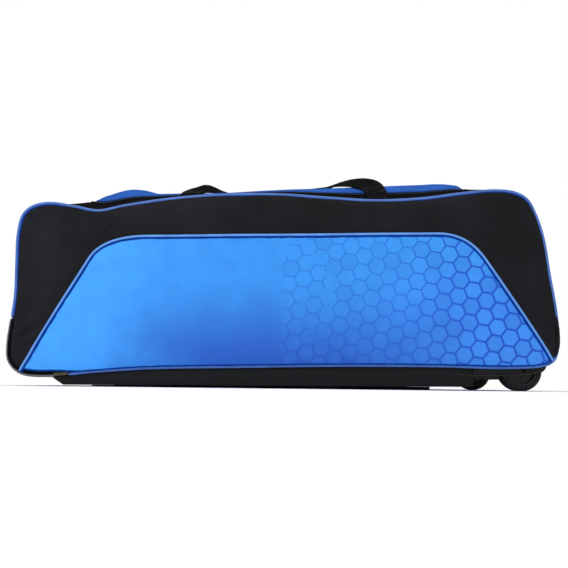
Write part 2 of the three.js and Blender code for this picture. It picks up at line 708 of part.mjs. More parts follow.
// A wheel turned about Y: rounded tread, dished sides and a bore.
function wheel(side) {
  const half = WHEEL_WIDTH / 2;
  const web = half - HUB_RECESS;
  const rounding = WHEEL_SHOULDER * (1 - Math.SQRT1_2);
  const oneSide = [
    [WHEEL_BORE, web],
    [HUB_RADIUS - 1, web],
    [HUB_RADIUS, half],
    [WHEEL_RADIUS - WHEEL_SHOULDER, half],
    [WHEEL_RADIUS - rounding, half - rounding],
    [WHEEL_RADIUS, half - WHEEL_SHOULDER],
  ];
  const profile = [...oneSide, ...oneSide.map(([r, y]) => [r, -y]).reverse(), oneSide[0]].reverse();
  const turned = new THREE.LatheGeometry(profile.map(([r, y]) => new THREE.Vector2(r, y)), WHEEL_SIDES);
  return turned.translate(WHEEL_X, (side * WHEEL_TRACK) / 2, WHEEL_RADIUS);
}

// The slider of the lid's zip, with its pull, on the zip's back run.
function zipSlider() {
  const [x, y] = [LID_CENTRE_X, (LID_WIDTH + ZIP_WIDTH) / 2 + GAP];
  const seat = onTop(x, y);
  const nearby = SLIDER_WIDTH / 2;
  const slope = Math.atan2(onTop(x, y + nearby).z - onTop(x, y - nearby).z, SLIDER_WIDTH);
  const half = SLIDER_LENGTH / 2;
  const pullBottom = SLIDER_HEIGHT / 3;
  const pullTop = pullBottom + PULL_THICKNESS;
  const shape = outlineOf([
    [-half, 0],
    [half, 0],
    [half, pullBottom],
    [half + PULL_REACH, pullBottom],
    [half + PULL_REACH, pullTop],
    [half, pullTop],
    [half / 2, SLIDER_HEIGHT],
    [-half / 2, SLIDER_HEIGHT],
    [-half, pullTop],
  ]);
  const body = geometryOf(levelPrism(shape, -nearby, nearby));
  return body.rotateX(slope).translate(x, y, seat.z + 2 * GAP);
}

const looks = {
  blackCloth: { color: 0x1f1f21, roughness: 0.85, metalness: 0 },
  printCloth: { color: 0x3a8cf0, roughness: 0.6, metalness: 0 },
  blueCord: { color: 0x3565cf, roughness: 0.5, metalness: 0 },
  zipTape: { color: 0x161617, roughness: 0.7, metalness: 0 },
  webbing: { color: 0x1a1a1c, roughness: 0.9, metalness: 0 },
  moulding: { color: 0x1d1d1f, roughness: 0.55, metalness: 0 },
  tyre: { color: 0x1b1b1b, roughness: 0.8, metalness: 0 },
  steel: { color: 0xb8babd, roughness: 0.35, metalness: 1 },
};

const bag = new THREE.Group();

function add(name, geometry, look) {
  const mesh = new THREE.Mesh(geometry, new THREE.MeshStandardMaterial(looks[look]));
  mesh.geometry.computeVertexNormals();
  mesh.name = name;
  bag.add(mesh);
}

add("front_panel", frontPanel, "blackCloth");
add("back_panel", backPanel, "blackCloth");
add("top_panel", geometryOf(topPanel), "blackCloth");
add("tow_end_panel", towPanel, "blackCloth");
add("wheel_end_panel", wheelPanel, "blackCloth");
add("lid", geometryOf(lid), "printCloth");
add("lid_zip", geometryOf(lidZip), "zipTape");
add("lid_zip_slider", zipSlider(), "zipTape");
add("print_panel", printPanel, "printCloth");
add("print_piping", printCord(), "blueCord");
add("front_piping", frontCord, "blueCord");
add("back_piping", backCord, "blueCord");
add("pocket_zip", pocketZip, "zipTape");
add("base_tray", baseTray(), "moulding");
add("wheel_carriage", wheelCarriage(), "moulding");
add("tow_strap", towStrap(), "webbing");
for (const [place, side, strapMiddle] of [
  ["front", -1, FRONT_STRAP_MIDDLE],
  ["back", 1, BACK_STRAP_MIDDLE],
]) {
  add(`carry_strap_${place}`, carryStrap(side, strapMiddle), "webbing");
  add(`skid_rail_${place}`, skidRail(side), "moulding");
  add(`axle_${place}`, axle(side), "steel");
  add(`wheel_${place}`, wheel(side), "tyre");
}

// The origin lies under the middle of the whole bag, at the level of what it stands on.
const middle = new THREE.Box3().setFromObject(bag).getCenter(new THREE.Vector3());
bag.position.set(-middle.x, -middle.y, 0);

export default bag;
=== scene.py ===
import math

import bmesh
import bpy
import numpy as np
from mathutils import Matrix, Vector, noise
from mathutils.bvhtree import BVHTree


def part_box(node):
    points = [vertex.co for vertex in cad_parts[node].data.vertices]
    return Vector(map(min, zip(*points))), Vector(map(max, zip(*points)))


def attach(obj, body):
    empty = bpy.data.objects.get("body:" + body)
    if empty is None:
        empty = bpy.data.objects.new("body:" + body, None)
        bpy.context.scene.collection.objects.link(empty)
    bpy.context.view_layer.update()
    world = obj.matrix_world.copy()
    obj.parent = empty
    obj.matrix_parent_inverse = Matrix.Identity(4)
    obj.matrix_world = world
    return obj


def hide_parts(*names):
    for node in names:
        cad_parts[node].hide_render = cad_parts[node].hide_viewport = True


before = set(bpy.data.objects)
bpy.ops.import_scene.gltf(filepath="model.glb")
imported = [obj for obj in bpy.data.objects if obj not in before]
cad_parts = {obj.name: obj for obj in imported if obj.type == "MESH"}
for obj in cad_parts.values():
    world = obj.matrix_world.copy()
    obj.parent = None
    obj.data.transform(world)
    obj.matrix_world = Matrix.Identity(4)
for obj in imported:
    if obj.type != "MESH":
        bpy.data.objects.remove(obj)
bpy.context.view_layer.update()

MM = 0.001

# The bag's sizes in millimetres, as in the part's source
LENGTH = 945
HEIGHT = 352
DEPTH = 310
PUFF = 14
CLOTH = 2.5
CORD_RADIUS = 2.6
PRINT_CLOTH = 1.6
PRINT_CORD_RADIUS = 2.4
SHOWN_CORD = 2.8
LID_LENGTH = 706
LID_CENTRE_X = -4
LID_WIDTH = 214
LID_CORNER = 62
ZIP_WIDTH = 15
ZIP_GAP = 0.3
STRAP_WIDTH = 38
STRAP_CLOTH = 2.2
STRAP_SPAN = 334
STRAP_HUMP = 14
STRAP_LEAN = 1.0
STRAP_MIDDLES = {"near": 3, "far": 46}
TOW_STRAP_REACH = 150
TOW_STRAP_MIDDLE = 178
TOW_STRAP_LIFT = 16
WHEEL_RADIUS = 36
WHEEL_WIDTH = 30
WHEEL_X = 411
WHEEL_TRACK = 262
AXLE_RADIUS = 4
PIN_LENGTH = 36

# The corded seam, clockwise from the tow end of the base: share of the length from the middle,
# share of the height, and share of the depth by which the band between the two seams swells
SEAM = np.array([
    (-0.418, 0.053, 0), (-0.469, 0.06, 0.01), (-0.487, 0.088, 0.02), (-0.4974, 0.128, 0.03),
    (-0.5, 0.199, 0.04), (-0.4963, 0.325, 0.048), (-0.4926, 0.44, 0.052), (-0.494, 0.611, 0.052),
    (-0.4947, 0.744, 0.05), (-0.4884, 0.841, 0.046), (-0.476, 0.881, 0.045), (-0.4598, 0.901, 0.045),
    (-0.437, 0.909, 0.06), (-0.3915, 0.892, 0.118), (-0.347, 0.872, 0.184), (-0.302, 0.8977, 0.204),
    (-0.2127, 0.9375, 0.138), (-0.1228, 0.96, 0.098), (-0.0106, 0.966, 0.13), (0.0794, 0.9517, 0.168),
    (0.1693, 0.9403, 0.199), (0.259, 0.9534, 0.194), (0.318, 0.976, 0.165), (0.35, 0.9875, 0.12),
    (0.396, 1, 0.085), (0.434, 0.9886, 0.06), (0.455, 0.9545, 0.05), (0.4688, 0.8835, 0.05),
    (0.4815, 0.761, 0.052), (0.49, 0.568, 0.052), (0.4974, 0.412, 0.05), (0.5, 0.298, 0.04),
    (0.4984, 0.213, 0.03), (0.4894, 0.1506, 0.016), (0.471, 0.1264, 0), (0.406, 0.1136, 0),
    (0.275, 0.118, 0), (0.1016, 0.1153, 0), (-0.072, 0.105, 0), (-0.2455, 0.0925, 0),
    (-0.3386, 0.074, 0),
])
MARKS = {name: row / len(SEAM) for name, row in {
    "base_tow": 0, "low_tow": 2, "zip_top": 5, "high_tow": 10,
    "high_wheel": 26, "low_wheel": 33, "base_wheel": 34,
}.items()}

# The printed panel's edge: share of the length and of the height
PRINT = {
    "low_tow": (-0.471, 0.0898), "rise_tow": (-0.3576, 0.6125), "corner_tow": (-0.335, 0.7315),
    "level_tow": (-0.2475, 0.7345), "level_wheel": (0.282, 0.763), "corner_wheel": (0.336, 0.7665),
    "fall_wheel": (0.3675, 0.6352), "low_wheel": (0.4785, 0.1773),
}

# A carrying strap: share of the half span, of the way inwards, and of the hump
STRAP = np.array([
    (-1, 0, 0), (-1, 0.115, 0.02), (-0.975, 0.27, 0.15), (-0.9, 0.467, 0.62), (-0.79, 0.636, 1.35),
    (-0.66, 0.78, 0.85), (-0.5, 0.903, 0.15), (-0.28, 0.982, 0), (0, 1, 0), (0.28, 0.982, 0), (0.5, 0.903, 0.3),
    (0.66, 0.78, 0.85), (0.79, 0.636, 1.0), (0.9, 0.467, 0.88), (0.975, 0.27, 0.65), (1, 0.115, 0.25), (1, 0, 0),
])

HALF_DEPTH = DEPTH / 2
BAND_REACH = HALF_DEPTH - CORD_RADIUS - 0.3 - CLOTH / 2
BAND_POWER = 2.1
near_low, near_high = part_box("wheel_front")
far_low, far_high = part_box("wheel_back")
SHIFT = Vector((
    (near_low.x + near_high.x) / 2 - WHEEL_X * MM,
    (near_low.y + near_high.y + far_low.y + far_high.y) / 4,
    0,
))


def place(point):
    """A point of the bag in millimetres, in the row frame in metres."""
    return Vector((point[0] * MM, point[1] * MM, point[2] * MM)) + SHIFT


# Curves and surfaces of the bag

def smooth_curve(points, shares, closed):
    """Points at shares of a centripetal curve through the given points."""
    points = np.asarray(points, float)
    count = len(points)
    place_on = np.asarray(shares, float) * (count if closed else count - 1)
    first = np.floor(place_on).astype(int)
    if not closed:
        first = np.minimum(first, count - 2)
    weight = (place_on - first)[:, None]
    if closed:
        p0, p1, p2, p3 = (points[(first + step) % count] for step in (-1, 0, 1, 2))
    else:
        longer = np.vstack([2 * points[0] - points[1], points, 2 * points[-1] - points[-2]])
        p0, p1, p2, p3 = (longer[first + step] for step in (0, 1, 2, 3))
    d0, d1, d2 = (np.sqrt(np.linalg.norm(b - a, axis=1))[:, None] for a, b in ((p0, p1), (p1, p2), (p2, p3)))
    t1 = ((p1 - p0) / d0 - (p2 - p0) / (d0 + d1) + (p2 - p1) / d1) * d1
    t2 = ((p2 - p1) / d1 - (p3 - p1) / (d1 + d2) + (p3 - p2) / d2) * d1
    curve = p1 + t1 * weight + (3 * (p2 - p1) - 2 * t1 - t2) * weight ** 2
    return curve + (2 * (p1 - p2) + t1 + t2) * weight ** 3


SEAM_POINTS = SEAM[:, [0, 2, 1]] * (LENGTH, DEPTH, HEIGHT)


def seam_at(turns):
    """Along the seam: x, z, the band's swell and the outward direction in the side's plane."""
    turns = np.asarray(turns, float) % 1
    point = smooth_curve(SEAM_POINTS, turns, True)
    step = 1e-4
    tangent = smooth_curve(SEAM_POINTS, np.minimum(turns + step, 1 - 1e-9), True)
    tangent = tangent - smooth_curve(SEAM_POINTS, np.maximum(turns - step, 0), True)
    size = np.hypot(tangent[:, 0], tangent[:, 2])
    out = np.stack([-tangent[:, 2] / size, tangent[:, 0] / size], 1)
    return point[:, 0], point[:, 2], point[:, 1], out


def run_between(start, end, steps):
    """Places on the seam, closer together towards both ends of the run."""
    fine = np.linspace(start, end, 201)
    x, z, _, _ = seam_at(fine)
    lengths = np.concatenate([[0], np.cumsum(np.hypot(np.diff(x), np.diff(z)))])
    even = np.arange(steps + 1) / steps
    shares = even - 0.5 * np.sin(2 * np.pi * even) / (2 * np.pi)
    return np.interp(shares * lengths[-1], lengths, fine)


FINER = 10
RUNS = {
    "under_tow": run_between(MARKS["base_tow"], MARKS["low_tow"], 2 * FINER),
    "tow": run_between(MARKS["low_tow"], MARKS["high_tow"], 8 * FINER),
    "top": run_between(MARKS["high_tow"], MARKS["high_wheel"], 22 * FINER),
    "wheel": run_between(MARKS["high_wheel"], MARKS["low_wheel"], 8 * FINER),
    "under_wheel": run_between(MARKS["low_wheel"], MARKS["base_wheel"], 2 * FINER),
    "bottom": run_between(MARKS["base_wheel"], MARKS["base_tow"] + 1, 18 * FINER),
}


def joined(*names):
    runs = [RUNS[name] for name in names]
    return np.concatenate([runs[0]] + [run[1:] for run in runs[1:]])


def inset_seam(turns, inset):
    x, z, _, out = seam_at(turns)
    return np.stack([x - out[:, 0] * inset, z - out[:, 1] * inset], 1)


def spanned(low, high, left, right):
    """A flat patch spanned between four edges that meet at their ends."""
    u = np.linspace(0, 1, len(low))[:, None, None]
    v = np.linspace(0, 1, len(left))[None, :, None]
    across = low[:, None] * (1 - v) + high[:, None] * v
    along = left[None] * (1 - u) + right[None] * u
    ends = (low[0] * (1 - u) + low[-1] * u) * (1 - v) + (high[0] * (1 - u) + high[-1] * u) * v
    return across + along - ends


def band_point(turns, across):
    """The band between the two seams: across goes from -1 at the front seam to 1 at the back one."""
    squareness = 5
    x, z, swell, _ = seam_at(turns)
    middle = HEIGHT / 2
    way_x = np.sign(x) * np.abs(2 * x / LENGTH) ** squareness / LENGTH
    way_z = np.sign(z - middle) * np.abs((z - middle) / middle) ** squareness / HEIGHT
    size = np.maximum(np.hypot(way_x, way_z), 1e-30)
    bulge = swell * (1 - np.abs(across) ** BAND_POWER)
    return np.stack([x + way_x / size * bulge, BAND_REACH * across, z + way_z / size * bulge], -1)


TOP_TURNS = np.linspace(MARKS["high_tow"], MARKS["high_wheel"], 700)


TOP_FOOT = band_point(TOP_TURNS, np.ones_like(TOP_TURNS))[:, 0]
TOP_CREST = band_point(TOP_TURNS, np.zeros_like(TOP_TURNS))[:, 0]


def band_turn(x, across):
    """Where on the top run the band has this x."""
    rise = 1 - np.abs(across) ** BAND_POWER
    return np.array([
        np.interp(a, TOP_FOOT + (TOP_CREST - TOP_FOOT) * b, TOP_TURNS) for a, b in zip(np.ravel(x), np.ravel(rise))
    ]).reshape(np.shape(x))


def on_band(plan):
    """Points of the top band under plan positions."""
    across = plan[..., 1] / BAND_REACH
    turns = band_turn(plan[..., 0], across)
    return band_point(turns.ravel(), across.ravel()).reshape(*plan.shape[:-1], 3)


def evenly(points, count, closed=False):
    """The same polyline in even steps."""
    points = np.asarray(points, float)
    if closed:
        points = np.vstack([points, points[:1]])
    lengths = np.concatenate([[0], np.cumsum(np.linalg.norm(np.diff(points, axis=0), axis=1))])
    goals = np.linspace(0, lengths[-1], count + 1 if closed else count)
    even = np.stack([np.interp(goals, lengths, column) for column in points.T], 1)
    return even[:-1] if closed else even


def eased(share):
    """A smooth step from 0 to 1."""
    share = np.clip(share, 0, 1)
    return share * share * (3 - 2 * share)


def unit(vectors):
    return vectors / np.maximum(np.linalg.norm(vectors, axis=-1, keepdims=True), 1e-12)


def normals_of(grid):
    return unit(np.cross(np.gradient(grid, axis=0), np.gradient(grid, axis=1)))


def step_noise(points, size, seed):
    """Smooth noise from -1 to 1 at points in millimetres, with features of about this size."""
    flat = points.reshape(-1, 3) / size + seed
    return np.array([noise.noise(Vector(p)) for p in flat]).reshape(points.shape[:-1])


# Meshes

def grid_mesh(points, closed_rows=False, closed_columns=False):
    """A cloth grid: a plane whose corners are moved to these points, with UVs in metres."""
    points = np.asarray(points, float)
    rows, columns = points.shape[:2]
    along = np.linalg.norm(np.diff(points, axis=0), axis=2).mean(1)
    over = np.linalg.norm(np.diff(points, axis=1), axis=2).mean(0)
    u = np.concatenate([[0], np.cumsum(along)]) * MM
    v = np.concatenate([[0], np.cumsum(over)]) * MM
    bm = bmesh.new()
    bmesh.ops.create_grid(bm, x_segments=columns - 1, y_segments=rows - 1, size=1)
    layer = bm.loops.layers.uv.new("UVMap")
    home = {}
    for vert in bm.verts:
        column = round((vert.co.x + 1) / 2 * (columns - 1))
        row = round((vert.co.y + 1) / 2 * (rows - 1))
        home[vert] = (row, column)
        vert.co = place(points[row, column])
    for face in bm.faces:
        for loop in face.loops:
            row, column = home[loop.vert]
            loop[layer].uv = (u[row], v[column])
    if closed_rows or closed_columns:
        bmesh.ops.remove_doubles(bm, verts=bm.verts, dist=1e-6)
    return bm


def sweep(path, side, up, profile, closed=False, ends=None):
    """A section of (sideways, upwards) points, run along a path. ends scales it at each step."""
    path, side, up = (np.asarray(values, float) for values in (path, side, up))
    profile = np.asarray(profile, float)
    loop = np.vstack([profile, profile[:1]])
    scale = np.ones(len(path)) if ends is None else np.asarray(ends, float)
    points = path[:, None] + scale[:, None, None] * (
        side[:, None] * loop[None, :, :1] + up[:, None] * loop[None, :, 1:]
    )
    if closed:
        points = np.concatenate([points, points[:1]])
    bm = grid_mesh(points, closed_rows=closed, closed_columns=True)
    if not closed:
        bmesh.ops.holes_fill(bm, edges=[e for e in bm.edges if e.is_boundary], sides=0)
    bmesh.ops.recalc_face_normals(bm, faces=bm.faces)
    return bm


def round_section(radius, sides=14):
    angles = np.arange(sides) * 2 * np.pi / sides
    return np.stack([np.cos(angles), np.sin(angles)], 1) * radius


def flat_section(width, thickness):
    """A tape's section with rounded edges."""
    half, edge = width / 2, thickness / 2
    inner = np.linspace(-half + edge, half - edge, 6)
    turn = np.linspace(-np.pi / 2, np.pi / 2, 5)[1:-1]
    right = [(half - edge + edge * math.cos(a), edge * math.sin(a)) for a in turn]
    left = [(-x, -z) for x, z in right]
    return [(x, -edge) for x in inner] + right + [(x, edge) for x in inner[::-1]] + left


def tapered(count, steps=3):
    """Scales that round off both ends of a sweep."""
    scale = np.ones(count)
    for i in range(steps):
        scale[i] = scale[-1 - i] = math.sqrt(1 - (1 - (i + 0.35) / steps) ** 2)
    return scale


def path_frame(path, normals, closed=False):
    """Sideways and upward directions along a path that lies on a surface."""
    path = np.asarray(path, float)
    tangent = np.roll(path, -1, 0) - np.roll(path, 1, 0) if closed else np.gradient(path, axis=0)
    tangent = unit(tangent)
    side = unit(np.cross(tangent, normals))
    return side, unit(np.cross(side, tangent))


def finish_piece(bm, name, material, nodes=(), body="bag", flat_angle=None):
    """Makes the object, hides the CAD parts it stands in for, and hangs it on the body it rides on."""
    mesh = bpy.data.meshes.new(name)
    bm.to_mesh(mesh)
    bm.free()
    mesh.polygons.foreach_set("use_smooth", [True] * len(mesh.polygons))
    if flat_angle:
        mesh.set_sharp_from_angle(angle=math.radians(flat_angle))
    mesh.materials.append(material)
    piece = bpy.data.objects.new(name, mesh)
    bpy.context.scene.collection.objects.link(piece)
    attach(piece, body)
    if nodes:
        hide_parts(*nodes)
    return piece


def thicken(piece, thickness):
    wall = piece.modifiers.new("wall", "SOLIDIFY")
    wall.thickness = thickness * MM
    wall.offset = 0
    wall.use_even_offset = True
    return piece


def oriented(centre, along, across, up):
    """A matrix that puts a small shape at a place, in metres."""
    columns = [Vector(unit(np.asarray(v, float))) for v in (along, across, up)]
    turn = Matrix(columns).transposed().to_4x4()
    return Matrix.Translation(place(centre)) @ turn


def beads(places, size, segments=(6, 4)):
    """The same small rounded shape at many places: stitches, or the turns of a zip's coil."""
    whole = bmesh.new()
    stretch = Matrix.Diagonal((*(s * MM for s in size), 1))
    batch = 30
    for start in range(0, len(places), batch):
        part = bmesh.new()
        for centre, along, across, up in places[start:start + batch]:
            bmesh.ops.create_uvsphere(
                part, u_segments=segments[0], v_segments=segments[1], radius=0.5,
                matrix=oriented(centre, along, across, up) @ stretch,
            )
        mesh = bpy.data.meshes.new("batch")
        part.to_mesh(mesh)
        part.free()
        whole.from_mesh(mesh)
        bpy.data.meshes.remove(mesh)
    return whole


def along_path(path, side, up, pitch, closed=False):
    """Even places along a path, with their directions."""
    path = np.asarray(path, float)
    if closed:
        path, side, up = (np.vstack([values, values[:1]]) for values in (path, side, up))
    lengths = np.concatenate([[0], np.cumsum(np.linalg.norm(np.diff(path, axis=0), axis=1))])
    count = int(lengths[-1] / pitch)
    goals = (np.arange(count) + 0.5) * lengths[-1] / count
    sampled = [np.stack([np.interp(goals, lengths, c) for c in values.T], 1) for values in (path, side, up)]
    tangent = np.cross(sampled[2], sampled[1])
    return list(zip(sampled[0], tangent, sampled[1], sampled[2]))


# Materials

def srgb(code):
    """The linear colour of an sRGB hex value."""
    channels = [int(code[i:i + 2], 16) / 255 for i in (0, 2, 4)]
    return (*(c / 12.92 if c <= 0.04045 else ((c + 0.055) / 1.055) ** 2.4 for c in channels), 1)


def add_node(tree, kind, settings=None, **sockets):
    """Adds a node. A socket is named, or s0, s1 for its number, and takes a value or another's output."""
    made = tree.nodes.new(kind)
    for key, value in (settings or {}).items():
        setattr(made, key, value)
    for key, value in sockets.items():
        number = key[0] == "s" and key[1:].isdigit()
        socket = made.inputs[int(key[1:]) if number else key.replace("_", " ")]
        if isinstance(value, bpy.types.NodeSocket):
            tree.links.new(value, socket)
        else:
            socket.default_value = value
    return made


def new_material(name, roughness, colour="000000", specular=0.5, metallic=0.0, **extra):
    material = bpy.data.materials.new(name)
    material.use_nodes = True
    tree = material.node_tree
    shader = tree.nodes["Principled BSDF"]
    shader.inputs["Base Color"].default_value = srgb(colour)
    shader.inputs["Roughness"].default_value = roughness
    shader.inputs["Specular IOR Level"].default_value = specular
    shader.inputs["Metallic"].default_value = metallic
    for key, value in extra.items():
        shader.inputs[key.replace("_", " ")].default_value = value
    return material, tree, shader


def maths(tree, operation, *values, clamp=False):
    sockets = {f"s{i}": value for i, value in enumerate(values)}
    return add_node(tree, "ShaderNodeMath", {"operation": operation, "use_clamp": clamp}, **sockets).outputs[0]


def vector_maths(tree, operation, *values):
    made = add_node(tree, "ShaderNodeVectorMath", {"operation": operation},
                    **{f"s{i}": value for i, value in enumerate(values)})
    return made.outputs["Value" if operation == "DOT_PRODUCT" else "Vector"]


def fade(tree, value, start, end, low=0.0, high=1.0):
    """A smooth change from low to high as the value goes from start to end."""
    made = add_node(tree, "ShaderNodeMapRange", {"interpolation_type": "SMOOTHSTEP"},
                    s0=value, s1=start, s2=end, s3=low, s4=high)
    return made.outputs[0]


def blended(tree, share, first, second):
    made = add_node(tree, "ShaderNodeMix", {"data_type": "RGBA"}, s0=share, s6=first, s7=second)
    return made.outputs[2]


def mottle(tree, size, detail=3.0, vector=None):
    """Soft noise with features of this size in millimetres."""
    if vector is None:
        vector = add_node(tree, "ShaderNodeTexCoord").outputs["Object"]
    made = add_node(tree, "ShaderNodeTexNoise", Vector=vector, Scale=1 / (size * MM), Detail=detail)
    return made.outputs["Fac"]


def threads(tree, pitch_along, pitch_across):
    """The height of a plain weave on the piece's UV map: bumps where the threads pass over each other."""
    uv = add_node(tree, "ShaderNodeTexCoord").outputs["UV"]
    parts = add_node(tree, "ShaderNodeSeparateXYZ", Vector=uv)
    waves = [
        maths(tree, "SINE", maths(tree, "MULTIPLY", parts.outputs[axis], math.pi / (pitch * MM)))
        for axis, pitch in ((0, pitch_along), (1, pitch_across))
    ]
    return maths(tree, "MULTIPLY", *waves), parts


def raise_surface(tree, shader, height, depth, strength=1.0):
    bump = add_node(tree, "ShaderNodeBump", Height=height, Distance=depth * MM, Strength=strength)
    tree.links.new(bump.outputs[0], shader.inputs["Normal"])


def coated_cloth(name, dark, light, roughness, specular, weave=1.7):
    """Coated woven polyester. The real 0.6 mm threads are drawn at 1.7 mm, as fine as the render shows.
    The coating gives a dull even sheen that is a little patchy where the cloth was handled."""
    material, tree, shader = new_material(name, roughness, specular=specular)
    patches = mottle(tree, 90, 4.0)
    weave_height, _ = threads(tree, weave, weave)
    flecks = maths(tree, "MULTIPLY_ADD", weave_height, 0.22, patches)
    shade = fade(tree, flecks, 0.25, 0.8)
    tree.links.new(blended(tree, shade, srgb(dark), srgb(light)), shader.inputs["Base Color"])
    tree.links.new(fade(tree, mottle(tree, 35), 0.3, 0.7, roughness - 0.06, roughness + 0.06),
                   shader.inputs["Roughness"])
    creases = mottle(tree, 26, 5.0)
    height = maths(tree, "MULTIPLY_ADD", weave_height, 0.12, creases)
    raise_surface(tree, shader, height, 0.9, 0.5)
    return material


def webbing_cloth(name, dark, light, rib=3.2):
    """Woven polypropylene webbing: heavy ribs across the tape, and a dry, slightly fuzzy face."""
    material, tree, shader = new_material(name, 0.75, specular=0.0)
    ribs, _ = threads(tree, rib, 2.6)
    shade = fade(tree, maths(tree, "MULTIPLY_ADD", ribs, 0.3, mottle(tree, 18)), 0.2, 0.85)
    tree.links.new(blended(tree, shade, srgb(dark), srgb(light)), shader.inputs["Base Color"])
    raise_surface(tree, shader, ribs, 0.7, 0.8)
    return material


def moulded(name, dark, light, roughness, specular=0.35):
    """Injection-moulded polypropylene with a fine spark-eroded grain, scuffed paler where it rubs."""
    material, tree, shader = new_material(name, roughness, specular=specular)
    grain = mottle(tree, 1.6, 2.0)
    scuffs = fade(tree, mottle(tree, 24, 6.0), 0.55, 0.8)
    edge = add_node(tree, "ShaderNodeNewGeometry").outputs["Pointiness"]
    worn = maths(tree, "ADD", fade(tree, edge, 0.52, 0.6, 0.0, 0.6), maths(tree, "MULTIPLY", scuffs, 0.4))
    tree.links.new(blended(tree, worn, srgb(dark), srgb(light)), shader.inputs["Base Color"])
    tree.links.new(fade(tree, scuffs, 0, 1, roughness, roughness + 0.14), shader.inputs["Roughness"])
    raise_surface(tree, shader, grain, 0.25, 0.5)
    return material


def piping_vinyl(name, pale_and_lit_colour, dark_and_shaded_colour, specular=0.3, radius=None, lit_angle=0.0):
    """Cord wrapped in soft satin vinyl, a little patchy in tone. Given a radius, it is painted lit on one side and
    painted shade
    round the rest: the painted highlight lies at an angle round the cord's section, and the UV map's second way runs
    round it."""
    material, tree, shader = new_material(name, 0.42, specular=specular)
    weave, parts = threads(tree, 3.0, 4.1)
    patches = mottle(tree, 30, 2.0)
    shade = fade(tree, patches, 0.3, 0.75, 0.75, 1.0)
    # Painted light and shade: lit towards the given angle round the section, shaded on the far side
    if radius:
        angle = maths(tree, "DIVIDE", parts.outputs[1], radius * MM)
        painted_light_facing = maths(tree, "COSINE", maths(tree, "SUBTRACT", angle, math.radians(lit_angle)))
        shade = maths(tree, "MULTIPLY", shade, fade(tree, painted_light_facing, -0.15, 0.75))
    tree.links.new(blended(tree, shade, srgb(dark_and_shaded_colour), srgb(pale_and_lit_colour)), shader.inputs["Base Color"])
    raise_surface(tree, shader, maths(tree, "MULTIPLY_ADD", weave, 0.15, patches), 0.5, 0.5)
    return material


